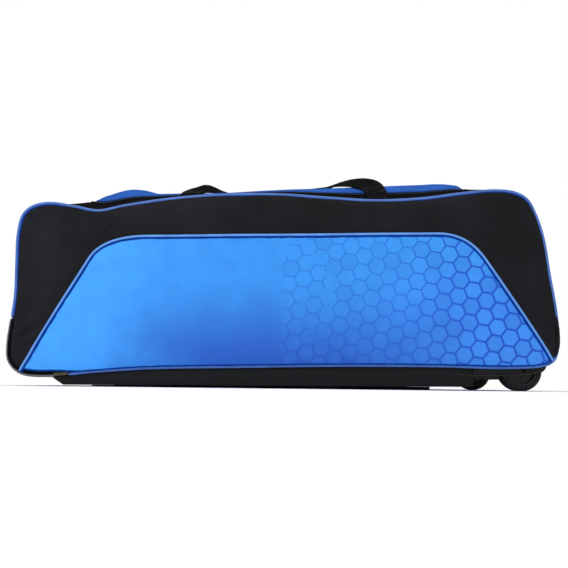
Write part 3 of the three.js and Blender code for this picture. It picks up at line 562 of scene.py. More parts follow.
def printed_cloth():
    """Smooth polyester with a dye-printed skin: sky blue with painted light and shade, paler towards the tow end and
    darker low in the middle and low at the wheeled end, and a generic mesh of hexagons over the wheeled half, strong at
    its end and fading out towards the middle."""
    material, tree, shader = new_material("printed_polyester", 0.5, specular=0.25, Sheen_Weight=0.05)
    here = add_node(tree, "ShaderNodeTexCoord").outputs["Object"]
    parts = add_node(tree, "ShaderNodeSeparateXYZ", Vector=here)
    x, z = parts.outputs[0], parts.outputs[2]
    # Painted light and shade: the blue is paler towards the tow end and darker low in the middle and low at the wheeled
    # end
    soft = maths(tree, "SUBTRACT", mottle(tree, 130, 3.0), 0.5)
    x_soft = maths(tree, "MULTIPLY_ADD", soft, 0.22, x)
    z_soft = maths(tree, "MULTIPLY_ADD", soft, 0.1, z)
    sky = blended(tree, fade(tree, x_soft, -0.36, -0.1), srgb(PRINT_AND_SHADE_BLUES[0]), srgb(PRINT_AND_SHADE_BLUES[1]))
    low_wheel = maths(tree, "MULTIPLY", fade(tree, x_soft, 0.1, 0.3), fade(tree, z_soft, 0.27, 0.13))
    sky = blended(tree, low_wheel, sky, srgb(PRINT_AND_SHADE_BLUES[2]))
    low = fade(tree, z_soft, 0.2, 0.05)
    inner = maths(tree, "MULTIPLY", fade(tree, x_soft, -0.36, -0.1), fade(tree, x_soft, 0.42, 0.12))
    ground = blended(tree, maths(tree, "MULTIPLY", low, inner), sky, srgb(PRINT_AND_SHADE_BLUES[3]))

    flat = add_node(tree, "ShaderNodeCombineXYZ", X=x, Y=z).outputs[0]
    turned = add_node(tree, "ShaderNodeMapping", {"vector_type": "TEXTURE"}, Vector=flat,
                      Location=(HEX_ORIGIN[0] * MM + SHIFT.x, HEX_ORIGIN[1] * MM, 0),
                      Rotation=(0, 0, -math.radians(HEX_TURN)),
                      Scale=(HEX_PITCH * MM, HEX_PITCH * MM, 1)).outputs[0]
    cell = (math.sqrt(3), 1.0, 1.0)
    half_cell = tuple(side / 2 for side in cell)
    back = tuple(-side for side in half_cell)
    first = vector_maths(tree, "WRAP", turned, half_cell, back)
    shifted = vector_maths(tree, "SUBTRACT", turned, (*half_cell[:2], 0))
    second = vector_maths(tree, "WRAP", shifted, half_cell, back)
    nearer = maths(tree, "LESS_THAN", vector_maths(tree, "DOT_PRODUCT", second, second),
                   vector_maths(tree, "DOT_PRODUCT", first, first))
    spot = add_node(tree, "ShaderNodeMix", {"data_type": "VECTOR"}, s0=nearer, s4=first, s5=second).outputs[1]
    cell_number = vector_maths(tree, "DIVIDE", vector_maths(tree, "SUBTRACT", turned, spot), (*half_cell[:2], 1))
    cell_number = vector_maths(tree, "FLOOR", vector_maths(tree, "ADD", cell_number, (0.5, 0.5, 0.5)))
    chance = add_node(tree, "ShaderNodeTexWhiteNoise", {"noise_dimensions": "3D"}, Vector=cell_number).outputs["Value"]
    spot = vector_maths(tree, "ABSOLUTE", spot)
    slanted = vector_maths(tree, "DOT_PRODUCT", spot, (math.sqrt(3) / 2, 0.5, 0))
    level = vector_maths(tree, "DOT_PRODUCT", spot, (0, 1, 0))
    from_edge = maths(tree, "SUBTRACT", 0.5, maths(tree, "MAXIMUM", slanted, level))
    strength = fade(tree, x, 0.15, 0.4)
    width = maths(tree, "MULTIPLY_ADD", strength, 0.058, 0.04)
    line = fade(tree, from_edge, width, maths(tree, "MULTIPLY", width, 0.3))
    missing = fade(tree, maths(tree, "MULTIPLY_ADD", x, 0.9, mottle(tree, 34, 1.0)), 0.36, 0.52)
    shown = maths(tree, "MULTIPLY", fade(tree, x, -0.005, 0.015),
                  maths(tree, "MULTIPLY", missing, fade(tree, strength, 0, 1, 0.62, 1.0)))
    ground = blended(tree, maths(tree, "MULTIPLY", shown, fade(tree, chance, 0.35, 1.0, 0.0, 0.34)), ground,
                     srgb(PRINT_AND_SHADE_BLUES[3]))
    glow = maths(tree, "MULTIPLY", fade(tree, from_edge, 0.02, 0.22), maths(tree, "MULTIPLY", shown, 0.16))
    ground = blended(tree, glow, ground, srgb(PRINT_AND_SHADE_BLUES[4]))
    printed = blended(tree, maths(tree, "MULTIPLY", line, shown), ground, srgb(PRINT_AND_SHADE_BLUES[5]))
    handled = fade(tree, mottle(tree, 26, 6.0), 0.4, 0.7, 0.0, 0.13)
    tree.links.new(blended(tree, handled, printed, srgb(PRINT_AND_SHADE_BLUES[3])), shader.inputs["Base Color"])
    weave_height, _ = threads(tree, 1.5, 1.5)
    height = maths(tree, "MULTIPLY_ADD", weave_height, 0.06, mottle(tree, 42, 4.0))
    raise_surface(tree, shader, height, 1.4, 0.45)
    return material


PRINT_AND_SHADE_BLUES = ["41a4fa", "3696ee", "3a8cef", "2560c4", "46a0f8", "1452c4"]
HEX_PITCH = 27.9
HEX_TURN = 8.9
HEX_ORIGIN = (380.6, 62.2)

black_cloth = coated_cloth("black_coated_polyester", "161618", "212125", 0.6, 0.06)
# The top's black cloth is a darker copy of the sides' black cloth: painted shade on the top, which the front light
# reaches less
painted_shade_top_black_cloth = coated_cloth("black_polyester_painted_shade_top", "121213", "1b1b1d", 0.7, 0.0)
blue_cloth = coated_cloth("blue_coated_polyester", "264f9e", "3767ba", 0.62, 0.0)
print_cloth = printed_cloth()
# The cords are painted lit on one side and painted shade round the rest, by the angle round their section
piping = piping_vinyl("blue_piping_vinyl", "4e77c4", "0a2258", 0.25, SHOWN_CORD, 72)
print_piping = piping_vinyl("sky_piping_vinyl", "6aa2ec", "0c3a8c", 0.25, PRINT_CORD_RADIUS, 112)
# The welts' dark navy is painted shade: it stands for the shaded groove between each cord and the cloth beside it
painted_shade_welt = piping_vinyl("navy_welt_vinyl_painted_shade", "023a98", "01286c", 0.0)
webbing = webbing_cloth("black_webbing", "101011", "1e1e20")
zip_tape = webbing_cloth("black_zip_tape", "0c0c0d", "171719", 1.4)
tan_tape = webbing_cloth("olive_zip_end_tape", "4a4433", "74725c", 1.4)
coil, _, _ = new_material("grey_nylon_zip_coil", 0.4, "9c9ca0", 0.4)
black_coil, _, _ = new_material("black_nylon_zip_coil", 0.45, "1a1a1c", 0.3)
black_moulding = moulded("black_moulded_polypropylene", "0d0d0e", "1c1c1e", 0.6, 0.2)
# The lip's pale colour is a painted highlight along the carriage's front edge
painted_highlight_lip = moulded("moulding_lip_painted_highlight", "26211f", "4a4340", 0.5, 0.3)
tyre = moulded("black_wheel_polyurethane", "0c0c0d", "1a1a1b", 0.62, 0.25)
hub = moulded("black_hub_nylon", "101011", "28282a", 0.45, 0.3)
slider_metal = moulded("black_painted_zinc", "131314", "4a4a4c", 0.3, 0.5)
black_thread, _, _ = new_material("black_polyester_thread", 0.5, "262628", 0.4)
blue_thread, _, _ = new_material("blue_polyester_thread", 0.5, "2a56c0", 0.4)
steel, steel_tree, steel_shader = new_material("blackened_steel", 0.5, "242527", metallic=1.0)
raise_surface(steel_tree, steel_shader, mottle(steel_tree, 3, 5.0), 0.1, 0.4)

# Front and back cloth

# Creases of the front cloth: two ends, width and height
CREASES = [
    ((-466, 86), (-428, 112), 4.5, 5.5),
    ((-462, 64), (-424, 88), 4.5, 5.0),
    ((-456, 48), (-426, 62), 4.5, 3.4),
    ((-464, 74), (-428, 97), 5, -3.6),
    ((-446, 120), (-408, 200), 18, -2.4),
    ((415, 266), (449, 160), 13, -3.4),
    ((396, 280), (424, 190), 14, 2.0),
    ((440, 190), (462, 90), 10, 1.6),
    ((-318, 269), (-294, 295), 3.5, 2.6),
    ((-200, 300), (-60, 312), 12, 1.2),
    ((60, 306), (230, 300), 14, -1.2),
]


def ridge(x, z, start, end, width, height):
    start, end = np.array(start, float), np.array(end, float)
    way = end - start
    share = np.clip(((x - start[0]) * way[0] + (z - start[1]) * way[1]) / (way @ way), 0, 1)
    off = np.hypot(x - start[0] - share * way[0], z - start[1] - share * way[1])
    return height * np.exp(-(off / width) ** 2) * np.sin(np.pi * np.clip(share, 0.12, 0.88)) ** 0.5


def side_points(side, inset):
    """One long side of the bag, spanned between the seam's runs, puffed out and a little creased."""
    low = joined("under_wheel", "bottom", "under_tow")[::-1]
    edges = [inset_seam(turns, inset) for turns in (low, RUNS["top"], RUNS["tow"], RUNS["wheel"][::-1])]
    flat = spanned(*edges)
    u = np.linspace(0, 1, flat.shape[0])[:, None]
    v = np.linspace(0, 1, flat.shape[1])[None]
    puff = PUFF * (1 - np.abs(2 * u - 1) ** 6) * (1 - np.abs(2 * v - 1) ** 2.6)
    x, z = flat[..., 0], flat[..., 1]
    level = np.stack([x, np.full_like(x, side * 100.0), z], -1)
    inside = np.clip(puff / PUFF * 2.2, 0, 1)
    lift = 1.3 * step_noise(level, 120, 3.1) + 0.7 * step_noise(level, 45, 7.7)
    if side < 0:
        for crease in CREASES:
            lift = lift + ridge(x, z, *crease)
    rim = np.minimum(np.minimum(u, 1 - u) * LENGTH, np.minimum(v, 1 - v) * HEIGHT)
    pull = 0.55 * step_noise(level, 13, 1.3) * np.exp(-rim / 14) * np.clip(rim / 5, 0, 1)
    return np.stack([x, side * (HALF_DEPTH + puff + lift * inside + pull), z], -1)


SEAM_INSET = 1.7
front_points = side_points(-1, SEAM_INSET)
back_points = side_points(1, SEAM_INSET)
front = finish_piece(grid_mesh(front_points), "front_cloth", black_cloth, ["front_panel"])
back = finish_piece(grid_mesh(back_points), "back_cloth", black_cloth, ["back_panel"])
for cloth in (front, back):
    thicken(cloth, CLOTH)

front_bm = bmesh.new()
front_bm.from_mesh(front.data)
front_tree = BVHTree.FromBMesh(front_bm)
front_bm.free()


def averaged(values, reach):
    """Each row mixed with its neighbours along a line."""
    kernel = np.hanning(2 * reach + 1)
    padded = np.vstack([np.repeat(values[:1], reach, 0), values, np.repeat(values[-1:], reach, 0)])
    return np.stack([np.convolve(column, kernel / kernel.sum(), "valid") for column in padded.T], 1)


def on_front(flat, lift, reach=0):
    """Points over the front cloth's outer face, and the way out from it. With a reach, a line of points
    bridges the cloth's small bumps, as a cord does."""
    points, ways = [], []
    for x, z in flat.reshape(-1, 2):
        start = place((x, -DEPTH, z))
        hit, way, _, _ = front_tree.ray_cast(start, Vector((0, 1, 0)))
        if hit is None:
            hit, way, _, _ = front_tree.find_nearest(place((x, -HALF_DEPTH, z)))
        if way.y > 0:
            way = -way
        points.append((hit - SHIFT) / MM)
        ways.append(way)
    points, ways = np.array(points).reshape(*flat.shape[:-1], 3), np.array(ways).reshape(*flat.shape[:-1], 3)
    if reach:
        points[:, 1] = averaged(points, reach)[:, 1]
        ways = unit(averaged(ways, reach))
    return points + ways * (CLOTH / 2 + lift), ways


# Print panel on the front cloth

def print_outline():
    """The print's edge from its low tow corner over the top to its low wheel corner, in even steps."""
    corner = {name: np.array(share) * (LENGTH, HEIGHT) for name, share in PRINT.items()}

    def bend(a, b, c):
        t = np.linspace(0, 1, 24)[:, None]
        return (1 - t) ** 2 * corner[a] + 2 * t * (1 - t) * corner[b] + t ** 2 * corner[c]

    def beyond(last, before):
        """Carries a side on until it meets the seam."""
        way = unit(corner[last] - corner[before])
        reach = np.linspace(0, 60, 600)[:, None]
        line = corner[last] + way * reach
        seam = inset_seam(joined("wheel", "under_wheel", "bottom", "under_tow"), CORD_RADIUS)
        gaps = np.linalg.norm(line[:, None] - seam[None], axis=2)
        return line[np.unravel_index(gaps.argmin(), gaps.shape)[0]]

    points = np.vstack([
        beyond("low_tow", "rise_tow"), corner["low_tow"], bend("rise_tow", "corner_tow", "level_tow"),
        bend("level_wheel", "corner_wheel", "fall_wheel"), corner["low_wheel"],
        beyond("low_wheel", "fall_wheel"),
    ])
    return evenly(points, 760)


def moved_in(points, inset):
    way = unit(np.gradient(points, axis=0))
    return points + np.stack([way[:, 1], -way[:, 0]], 1) * inset


edge_line = print_outline()
PRINT_INSET = 2.4
CORD_BRIDGE = 16
inner_line = moved_in(edge_line, PRINT_INSET)
corners = [np.abs(edge_line - np.array(PRINT[name]) * (LENGTH, HEIGHT)).sum(1).argmin()
           for name in ("corner_tow", "corner_wheel")]
low_turns = joined("under_wheel", "bottom", "under_tow")[::-1]
low_x = seam_at(low_turns)[0]
# The pocket zip is wider than the cord, so the print ends higher over it
seam_line = inset_seam(low_turns, SEAM_INSET + 1.2 + 4.8 * eased((-340 - low_x) / 50))
low_ends = [np.linalg.norm(seam_line - inner_line[i], axis=1).argmin() for i in (0, -1)]
print_low = evenly(seam_line[low_ends[0]:low_ends[1] + 1], 260)
print_left = evenly(np.vstack([print_low[:1], inner_line[4:corners[0] + 1]]), 90)
print_top = evenly(inner_line[corners[0]:corners[1] + 1], 260)
print_right = evenly(np.vstack([print_low[-1:], inner_line[corners[1]:-4][::-1]]), 90)
print_flat = spanned(print_low, print_top, print_left, print_right)
print_points, print_ways = on_front(print_flat, 0.25 + PRINT_CLOTH / 2)
u = np.linspace(0, 1, print_flat.shape[0])[:, None]
v = np.linspace(0, 1, print_flat.shape[1])[None]
rim = np.minimum(np.minimum(u, 1 - u) * 800, np.minimum(v, 1 - v) * 230)
pucker = 0.9 * step_noise(print_points, 11, 5.3) * np.exp(-rim / 11) * np.clip(rim / 3, 0, 1)
swell = 0.9 * np.clip(rim / 9, 0, 1) ** 0.5 + 0.35 * step_noise(print_points, 60, 2.2) * np.clip(rim / 20, 0, 1)
print_points = print_points + print_ways * (pucker + swell)[..., None]
print_piece = finish_piece(grid_mesh(print_points), "print_cloth", print_cloth, ["print_panel"])
thicken(print_piece, PRINT_CLOTH)

cord_line, cord_ways = on_front(edge_line, PRINT_CORD_RADIUS + 0.3, CORD_BRIDGE)
cord_side, cord_up = path_frame(cord_line, cord_ways)
finish_piece(
    sweep(cord_line, cord_side, cord_up, round_section(PRINT_CORD_RADIUS), ends=tapered(len(cord_line))),
    "print_piping_cord", print_piping, ["print_piping"],
)
# The welt beside the print's cord is coloured as painted shade of the groove there
welt_line, welt_ways = on_front(moved_in(edge_line, 3.7), 2.2, CORD_BRIDGE)
welt_side, welt_up = path_frame(welt_line, welt_ways)
finish_piece(
    sweep(welt_line, welt_side, welt_up, flat_section(3.2, 1.4), ends=tapered(len(welt_line))),
    "print_welt", painted_shade_welt,
)
# The welt along the print's low edge is coloured as painted shade of the groove there
low_welt, low_ways = on_front(moved_in(print_low, -1.2), 0.25 + PRINT_CLOTH + 0.5)
low_side, low_up = path_frame(low_welt, low_ways)
finish_piece(
    sweep(low_welt, low_side, low_up, flat_section(2.4, 1.2), ends=tapered(len(low_welt))),
    "print_low_welt", painted_shade_welt,
)
stitch_line, stitch_ways = on_front(moved_in(edge_line, 5.6), 0.25 + PRINT_CLOTH + 0.55)
stitch_side, stitch_up = path_frame(stitch_line, stitch_ways)
finish_piece(
    beads(along_path(stitch_line[8:-8], stitch_side[8:-8], stitch_up[8:-8], 4.2), (3.0, 0.6, 0.5)),
    "print_stitching", blue_thread,
)

# Main piping

def seam_path(turns, side, inset=0.0):
    flat = inset_seam(turns, inset)
    return np.stack([flat[:, 0], np.full(len(flat), side * HALF_DEPTH), flat[:, 1]], 1)


def seam_sides(turns, side):
    _, _, _, out = seam_at(turns)
    outward = np.stack([out[:, 0], np.zeros(len(out)), out[:, 1]], 1)
    return outward, np.tile((0.0, float(side), 0.0), (len(out), 1))


def even_turns(start, end, pitch):
    fine = np.linspace(start, end, 2000)
    x, z, _, _ = seam_at(fine)
    lengths = np.concatenate([[0], np.cumsum(np.hypot(np.diff(x), np.diff(z)))])
    return np.interp(np.linspace(0, lengths[-1], int(lengths[-1] / pitch)), lengths, fine)


CORD_END = 0.9905
ZIP_START = -0.0018
front_turns = even_turns(MARKS["zip_top"] + 0.0008, CORD_END, 4.0)
back_turns = even_turns(0, 1, 4.0)[:-1]
out_way, face_way = seam_sides(front_turns, -1)
finish_piece(
    sweep(seam_path(front_turns, -1), out_way, face_way, round_section(SHOWN_CORD), ends=tapered(len(front_turns))),
    "front_piping_cord", piping, ["front_piping"],
)
# The welt beside the main front cord is coloured as painted shade of the groove there
finish_piece(
    sweep(seam_path(front_turns, -1, 3.8) + face_way * 1.5, out_way, face_way, flat_section(2.8, 1.6),
          ends=tapered(len(front_turns))),
    "front_welt", painted_shade_welt,
)
out_way, face_way = seam_sides(back_turns, 1)
finish_piece(
    sweep(seam_path(back_turns, 1), out_way, face_way, round_section(SHOWN_CORD), closed=True),
    "back_piping_cord", piping, ["back_piping"],
)
# The welt beside the back cord is coloured as painted shade of the groove there
finish_piece(
    sweep(seam_path(back_turns, 1, 3.8) + face_way * 1.5, out_way, face_way, flat_section(2.8, 1.6), closed=True),
    "back_welt", painted_shade_welt,
)

# Low at the wheeled end the stuffed front bulges past the cord and hides it from the front
roll_turns = even_turns(0.7317, 0.8195, 3.0)
out_way, face_way = seam_sides(roll_turns, -1)
share = np.linspace(0, 1, len(roll_turns))
roll_size = 0.1 + 0.9 * eased(np.minimum(share, 1 - share) * 2.6)
finish_piece(
    sweep(seam_path(roll_turns, -1, 1.2) + face_way * 2.8 * roll_size[:, None], out_way, face_way, round_section(3.1),
          ends=roll_size),
    "front_cloth_bulge", black_cloth,
)

# Pocket zip round the low tow corner, with its tan tape end

zip_turns = even_turns(ZIP_START, MARKS["zip_top"], 3.0)
out_way, face_way = seam_sides(zip_turns, -1)
slant = unit(out_way * 0.5 + face_way)
zip_line = seam_path(zip_turns, -1, 1.0) + face_way * 1.2
zip_side, zip_up = path_frame(zip_line, slant)
finish_piece(
    sweep(zip_line, zip_side, zip_up, flat_section(9.6, 2.2), ends=tapered(len(zip_turns))),
    "pocket_zip_tape", zip_tape, ["pocket_zip"],
)
# The real coil turns every 1.3 mm, and is drawn coarser so that it shows
coil_line = seam_path(zip_turns, -1, -1.3) + face_way * 2.7
finish_piece(beads(along_path(coil_line, zip_side, zip_up, 3.2), (2.0, 4.6, 2.6)), "pocket_zip_coil", coil)
tab_turns = np.linspace(CORD_END, 1 + ZIP_START + 0.0006, 24)
out_way, face_way = seam_sides(tab_turns, -1)
finish_piece(
    sweep(seam_path(tab_turns, -1, 1.2) + face_way * 1.4, out_way, face_way, flat_section(5.2, 3.4),
          ends=tapered(len(tab_turns), 2)),
    "pocket_zip_end_tape", tan_tape,
)

# Top: lid, its zip and the frame round it

def lid_outline(margin, count=None):
    """The lid's rounded outline in plan, from the middle of its front tow corner, by sides."""
    half_x, half_y, corner = LID_LENGTH / 2 + margin, LID_WIDTH / 2 + margin, LID_CORNER + margin

    def arc(centre_x, centre_y, start, end):
        angles = np.radians(np.linspace(start, end, 14))
        return [(centre_x + corner * math.cos(a), centre_y + corner * math.sin(a)) for a in angles]

    x0, x1 = LID_CENTRE_X - half_x + corner, LID_CENTRE_X + half_x - corner
    y0, y1 = -half_y + corner, half_y - corner
    return [
        np.array(arc(x0, y0, 225, 270) + arc(x1, y0, 270, 315)),
        np.array(arc(x1, y0, 315, 360) + arc(x1, y1, 0, 45)),
        np.array(arc(x1, y1, 45, 90) + arc(x0, y1, 90, 135)),
        np.array(arc(x0, y1, 135, 180) + arc(x0, y0, 180, 225)),
    ]


def flared(plan):
    """Both ends of the lid spread a tenth wider than its middle, which the straps draw in."""
    x = plan[..., 0]
    spread = 1 + 0.1 * eased((-235 - x) / 50) + 0.13 * eased((x - 225) / 70)
    return np.stack([x, plan[..., 1] * spread], -1)


SIDE_STEPS = (220, 56, 220, 56)


def lid_ring(margin):
    """The closed outline at a margin, in even steps along each side."""
    return np.vstack([
        evenly(flared(line), steps + 1)[:-1] for line, steps in zip(lid_outline(margin), SIDE_STEPS)
    ])


# How much higher or lower the stuffed lid lies along its length, apart from its edge
LID_SWELLS = ((-357, -330, -290, -262, -236, -190, -150, 230, 270, 300, 325, 349), (4, 4, 3, 0, -5, -4, 0, 0, 0.5, 2.5, 6, 6))
sides = [evenly(flared(line), steps + 1) for line, steps in zip(lid_outline(-0.4), SIDE_STEPS)]
lid_flat = spanned(sides[0], sides[2][::-1], sides[3][::-1], sides[1])
lid_points = on_band(lid_flat)
u = np.linspace(0, 1, lid_flat.shape[0])[:, None]
v = np.linspace(0, 1, lid_flat.shape[1])[None]
rim = np.minimum(np.minimum(u, 1 - u) * LID_LENGTH, np.minimum(v, 1 - v) * LID_WIDTH)
lid_lift = 1.2 * step_noise(lid_points, 90, 9.1) * np.clip(rim / 25, 0, 1)
lid_lift = lid_lift + np.interp(lid_flat[..., 0], LID_SWELLS[0], LID_SWELLS[1]) * eased(rim / 26)
lid_lift = lid_lift + 0.6 * step_noise(lid_points, 16, 4.4) * np.exp(-rim / 12)
lid_points[..., 2] += lid_lift
lid_piece = finish_piece(grid_mesh(lid_points), "lid_cloth", blue_cloth, ["lid"])
thicken(lid_piece, CLOTH)


def ring_path(margin, lift):
    """A closed line round the lid on the band, with its outward and upward directions."""
    points = on_band(lid_ring(margin))
    inner = on_band(lid_ring(margin - 1.5))
    outward = unit(points - inner)
    tangent = unit(np.roll(points, -1, 0) - np.roll(points, 1, 0))
    upward = unit(np.cross(outward, tangent))
    upward = upward * np.sign(upward[:, 2:3])
    return points + upward * lift, outward, upward


hem, hem_out, hem_up = ring_path(-4.6, 0.3)
finish_piece(sweep(hem, hem_out, hem_up, flat_section(9.4, 3.4), closed=True), "lid_hem", blue_cloth)
hem_stitch, hem_out, hem_up = ring_path(-7.4, 2.05)
finish_piece(beads(along_path(hem_stitch, hem_out, hem_up, 4.2, True), (3.0, 0.6, 0.5)),
             "lid_stitching", blue_thread)
tape, tape_out, tape_up = ring_path(ZIP_GAP + ZIP_WIDTH / 2, -0.2)
finish_piece(sweep(tape, tape_out, tape_up, flat_section(ZIP_WIDTH - 0.4, 1.8), closed=True),
             "lid_zip_tape", zip_tape, ["lid_zip"])
coil_line, coil_out, coil_up = ring_path(ZIP_GAP + ZIP_WIDTH / 2, 1.0)
finish_piece(beads(along_path(coil_line, coil_out, coil_up, 2.6, True), (1.6, 4.4, 1.9)),
             "lid_zip_coil", black_coil)

# The black frame of the top, from the zip out to the two seams and the two high corners
inner = lid_ring(ZIP_GAP * 2 + ZIP_WIDTH - 1.0)
inner_across = inner[:, 1] / BAND_REACH
inner_turns = band_turn(inner[:, 0], inner_across)
top_x = seam_at(TOP_TURNS)[0]
outer = []
for number, steps in enumerate(SIDE_STEPS):
    share = np.arange(steps) / steps
    if number % 2 == 0:
        way = share if number == 0 else 1 - share
        turns = np.interp(top_x[0] + (top_x[-1] - top_x[0]) * way, top_x, TOP_TURNS)
        outer.append(np.stack([turns, np.full(steps, -1.0 if number == 0 else 1.0)], 1))
    else:
        way = np.sin(np.pi / 2 * (2 * (share if number == 1 else 1 - share) - 1))
        turns = np.full(steps, MARKS["high_wheel"] if number == 1 else MARKS["high_tow"])
        outer.append(np.stack([turns, way], 1))
outer = np.vstack(outer)
steps = np.linspace(0, 1, 18)[None, :, None]
mixed = np.stack([inner_turns, inner_across], 1)[:, None] * (1 - steps) + outer[:, None] * steps
top_points = band_point(mixed[..., 0].ravel(), mixed[..., 1].ravel()).reshape(*mixed.shape[:2], 3)
rim = np.minimum(steps[..., 0], 1 - steps[..., 0])
top_points[..., 2] += 1.0 * step_noise(top_points, 55, 6.6) * np.clip(rim * 5, 0, 1)
top_points = np.concatenate([top_points, top_points[:1]])
# The top cloth uses the darker copy of the black cloth, painted shade
top_piece = finish_piece(grid_mesh(top_points, closed_rows=True), "top_cloth", painted_shade_top_black_cloth,
                         ["top_panel"])
thicken(top_piece, CLOTH)

# The two ends

def end_points(turns, seed):
    across = np.sin(np.pi / 2 * np.linspace(-1, 1, 61))
    grid = band_point(np.repeat(turns, len(across)), np.tile(across, len(turns))).reshape(len(turns), -1, 3)
    ways = normals_of(grid)
    inside = np.clip((1 - np.abs(across)) * 4, 0, 1)[None]
    lift = (1.4 * step_noise(grid, 80, seed) + 0.7 * step_noise(grid, 30, seed + 3)) * inside
    along = np.linspace(0, 1, len(turns))[:, None]
    return grid + ways * (lift * np.clip(np.minimum(along, 1 - along) * 10, 0, 1))[..., None]


for name, runs, seed in (("tow_end", ("under_tow", "tow"), 2.5), ("wheel_end", ("wheel",), 8.5)):
    points = end_points(joined(*runs), seed)
    piece = finish_piece(grid_mesh(points), f"{name}_cloth", black_cloth, [f"{name}_panel"])
    thicken(piece, CLOTH)
    seam_turn = MARKS["high_tow"] if name == "tow_end" else MARKS["high_wheel"]
    across = np.sin(np.pi / 2 * np.linspace(-1, 1, 61))
    line = band_point(np.full(61, seam_turn), across)
    _, _, _, out = seam_at([seam_turn])
    up = np.tile((out[0, 0], 0, out[0, 1]), (61, 1))
    side, up = path_frame(line, up)
    finish_piece(sweep(line + up * 1.1, side, up, flat_section(9.0, 1.4)), f"{name}_lapped_seam", black_cloth)
    for number, shift in enumerate((-3.0, 3.0)):
        row = line + side * shift + up * 0.5
        places = along_path(row + up * 1.2, side, up, 4.4)
        finish_piece(beads(places, (3.1, 0.6, 0.5)), f"{name}_stitching_{number}", black_thread)


# Webbing straps

def box_stitch(centre, along, across, up, length, width):
    """Places of the stitches of a sewn box with a cross in it."""
    corners = [(-length / 2, -width / 2), (length / 2, -width / 2), (length / 2, width / 2), (-length / 2, width / 2)]
    runs = [(corners[i], corners[(i + 1) % 4]) for i in range(4)] + [(corners[0], corners[2]), (corners[1], corners[3])]
    places = []
    for start, end in runs:
        start, end = np.array(start), np.array(end)
        count = int(np.linalg.norm(end - start) / 3.4)
        way = unit(end - start)
        for i in range(count):
            spot = start + (end - start) * (i + 0.5) / count
            heading = along * way[0] + across * way[1]
            places.append((centre + along * spot[0] + across * spot[1], heading, np.cross(up, heading), up))
    return places


for place_name, side in (("near", -1), ("far", 1)):
    foot = HALF_DEPTH - 5.4
    middle = STRAP_MIDDLES[place_name]
    rows = np.stack([STRAP[:, 0] * STRAP_SPAN / 2, side * (foot + (middle - foot) * STRAP[:, 1]), STRAP[:, 2] * STRAP_HUMP], 1)
    fine = evenly(smooth_curve(rows, np.linspace(0, 1, 1200), False), 170)
    tangent = np.gradient(fine, axis=0)
    tangent[:, 2] = 0
    tangent = unit(tangent)
    clearance = np.full(len(fine), 1.8)
    clearance[:3] = clearance[-3:] = 0.5
    edges = np.linspace(-0.5, 0.5, 9)
    plan = fine[:, None, :2] + np.stack([-tangent[:, 1], tangent[:, 0]], 1)[:, None] * edges[None, :, None] * STRAP_WIDTH
    strap_points = np.concatenate([plan, np.zeros((*plan.shape[:2], 1))], 2)
    plan[..., 1] = np.clip(plan[..., 1], -BAND_REACH, BAND_REACH)
    heights = on_band(plan)[..., 2]
    strap_points[..., 2] = heights + (CLOTH / 2 + STRAP_CLOTH / 2 + clearance)[:, None]
    # The arch leans: its edge on the inside of the bend hangs down to the lid
    inside = (0.5 + edges * side)[None]
    strap_points[..., 2] += fine[:, 2:] * (1 - STRAP_LEAN * eased(inside))
    strap_points[..., 2] += 0.35 * np.cos(2 * np.pi * edges)[None]
    strap = finish_piece(grid_mesh(strap_points), f"carry_strap_{place_name}", webbing,
                         ["carry_strap_front" if side < 0 else "carry_strap_back"])
    thicken(strap, STRAP_CLOTH)
    ways = normals_of(strap_points)
    ways = ways * np.sign(ways[..., 2:3])
    stitches = []
    for row in (9, len(fine) - 10):
        centre = strap_points[row, 4] + ways[row, 4] * (STRAP_CLOTH / 2 + 0.1)
        along = unit(strap_points[min(row + 2, len(fine) - 1), 4] - strap_points[row - 2, 4])
        across = unit(np.cross(ways[row, 4], along))
        stitches += box_stitch(centre, along, across, np.cross(along, across), 26, 28)
    finish_piece(beads(stitches, (2.8, 0.7, 0.6)), f"carry_strap_{place_name}_stitching", black_thread)

share = np.linspace(0, 1, 70)
tow_z = TOW_STRAP_MIDDLE + (share - 0.5) * TOW_STRAP_REACH
tow_turns = joined("under_tow", "tow")
tow_lines = []
for across in np.linspace(0.5, -0.5, 9) * STRAP_WIDTH:
    line = band_point(tow_turns, np.full(len(tow_turns), across / BAND_REACH))
    skin_x = np.interp(tow_z, line[:, 2], line[:, 0])
    lift = 0.45 + TOW_STRAP_LIFT * np.sin(np.pi * share) ** 2
    tow_lines.append(np.stack([skin_x - CLOTH / 2 - STRAP_CLOTH / 2 - lift, np.full(70, across), tow_z], 1))
tow_points = np.stack(tow_lines, 1)
haul = finish_piece(grid_mesh(tow_points), "haul_strap", webbing, ["tow_strap"])
thicken(haul, STRAP_CLOTH)
stitches = []
for row in (6, 63):
    centre = tow_points[row, 4] + np.array((-STRAP_CLOTH / 2 - 0.1, 0, 0))
    stitches += box_stitch(centre, unit(tow_points[row + 2, 4] - tow_points[row - 2, 4]), np.array((0.0, 1, 0)),
                           np.array((-1.0, 0, 0)), 16, 30)
finish_piece(beads(stitches, (2.8, 0.7, 0.6)), "haul_strap_stitching", black_thread)


# Moulded base, carriage and rails, from the CAD solids with their edges rounded

def rounded_copy(node, name, material, radius, segments=2):
    bm = bmesh.new()
    bm.from_mesh(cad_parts[node].data)
    bmesh.ops.remove_doubles(bm, verts=bm.verts, dist=1e-6)
    bmesh.ops.dissolve_limit(bm, angle_limit=math.radians(0.6), verts=bm.verts, edges=bm.edges)
    sharp = [e for e in bm.edges if len(e.link_faces) == 2 and e.calc_face_angle(0) > math.radians(28)]
    bmesh.ops.bevel(bm, geom=sharp, offset=radius * MM, offset_type="OFFSET", segments=segments, profile=0.5,
                    affect="EDGES", clamp_overlap=True, material=-1)
    bmesh.ops.triangulate(bm, faces=[f for f in bm.faces if len(f.verts) > 4])
    return finish_piece(bm, name, material, [node], flat_angle=32)


